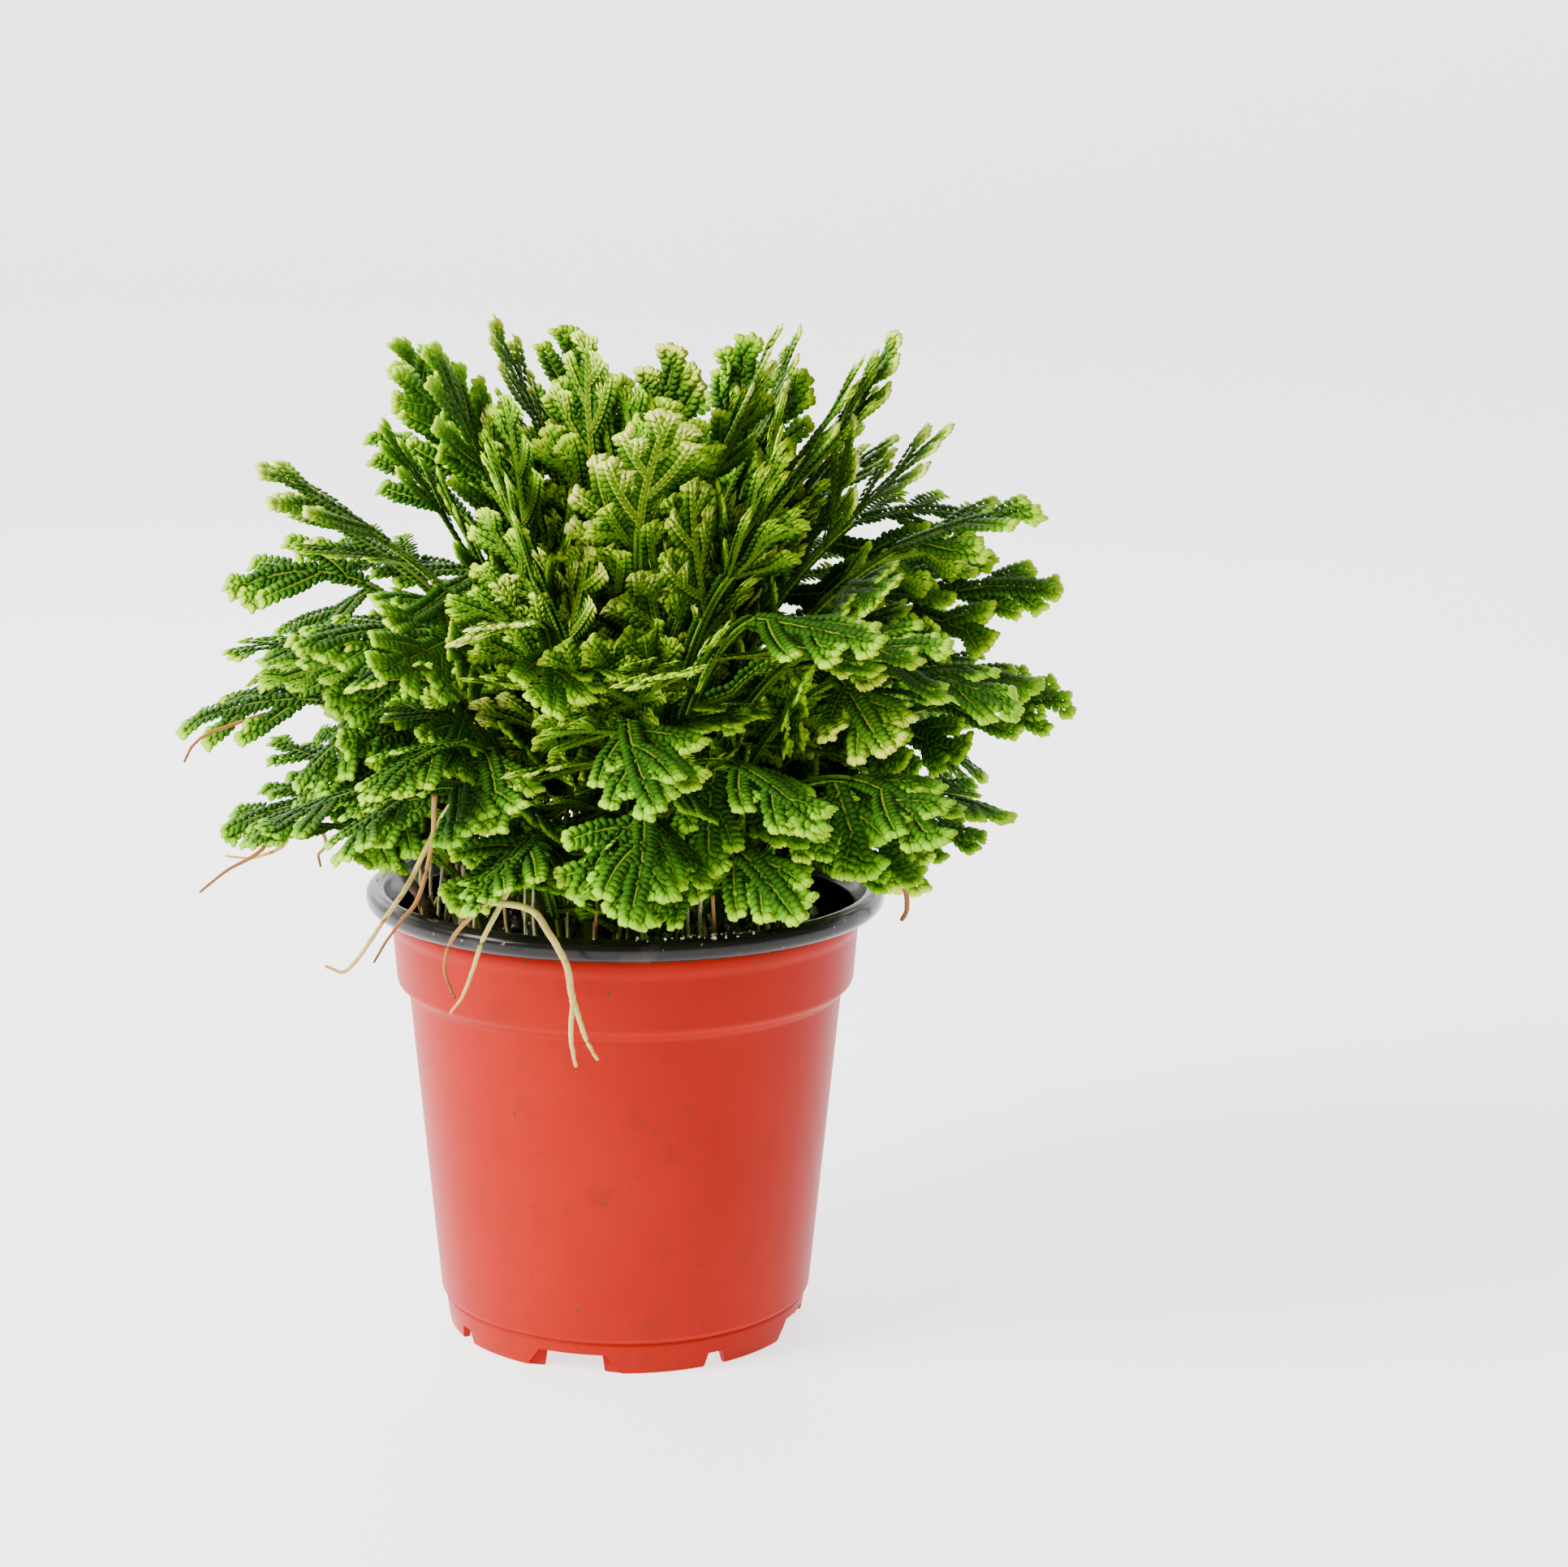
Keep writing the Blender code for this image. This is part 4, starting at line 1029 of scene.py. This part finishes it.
bark = crumbly("bark", (0.018, 0.011, 0.006), (0.11, 0.066, 0.034), 520.0, 0.9, 0.0008)
stem_route = smooth_route([(x, y, SOIL_CLEAR + up) for x, y, up in OLD_STEM_ROUTE], OLD_STEM_STEPS)
stem_points = []
for number, place in enumerate(stem_route):
    ridge = 1 + 0.16 * noise.noise(Vector((number * 0.45, 2.0, 0.0)))
    radius = OLD_STEM_RADIUS - OLD_STEM_THINS * number / (len(stem_route) - 1)
    stem_points.append((place, radius * ridge, 0.5, 0.0))
old_stem = body_mesh("woody_old_stem", [stalk_body(stem_points, OLD_STEM_SIDES, 0.0)], bark)
old_stem.data.uv_layers.remove(old_stem.data.uv_layers["OFBake"])
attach(old_stem, "root")
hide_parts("old_stem")


# ----------------------------------------
# Floor, backdrop and light. One pale painted sheet runs flat under the pot and bends up
# behind it. A soft window lights the plant from the left, and a weak lamp from behind.
# ----------------------------------------
SWEEP_SECTION = [(-9.0, 0.0), (1.3, 0.0), (1.55, 0.03), (1.75, 0.14), (1.88, 0.34), (1.92, 0.6),
                 (1.92, 2.6)]
SWEEP_SIDE = 9.0

sweep_corners = [(x, y, z) for y, z in SWEEP_SECTION for x in (-SWEEP_SIDE, SWEEP_SIDE)]
sweep_faces = [(at * 2, at * 2 + 1, at * 2 + 3, at * 2 + 2) for at in range(len(SWEEP_SECTION) - 1)]
sweep_paint, _, paint_shader = shaded("sweep_paint", 0.6, 0.5)
paint_shader.inputs["Base Color"].default_value = (0.83, 0.81, 0.815, 1)
paint_shader.inputs["Emission Color"].default_value = (1.0, 0.99, 0.995, 1)
paint_shader.inputs["Emission Strength"].default_value = 1.95
sweep_mesh = plain_mesh("sweep", sweep_corners, sweep_faces, sweep_paint)
sweep_mesh.shade_smooth()
sweep = placed("sweep", sweep_mesh)

world = bpy.data.worlds.new("studio")
world.use_nodes = True
sky = world.node_tree.nodes["Background"]
sky.inputs["Color"].default_value = (1.0, 1.0, 1.0, 1)
sky.inputs["Strength"].default_value = 0.28
bpy.context.scene.world = world


def soft_light(name, place, aim, size, power, colour):
    """A square soft box aimed at a point."""
    data = bpy.data.lights.new(name, "AREA")
    data.shape = "SQUARE"
    data.size = size
    data.energy = power
    data.color = colour
    light = placed(name, data)
    light.location = place
    light.rotation_euler = (Vector(aim) - Vector(place)).to_track_quat("-Z", "Y").to_euler()


soft_light("window_light", (-0.95, -0.45, 0.85), (0.0, 0.0, 0.12), 0.6, 45.0, (1.0, 0.985, 0.96))
soft_light("back_light", (-0.35, 0.95, 0.8), (0.0, 0.0, 0.15), 0.8, 7.0, (1.0, 1.0, 1.0))
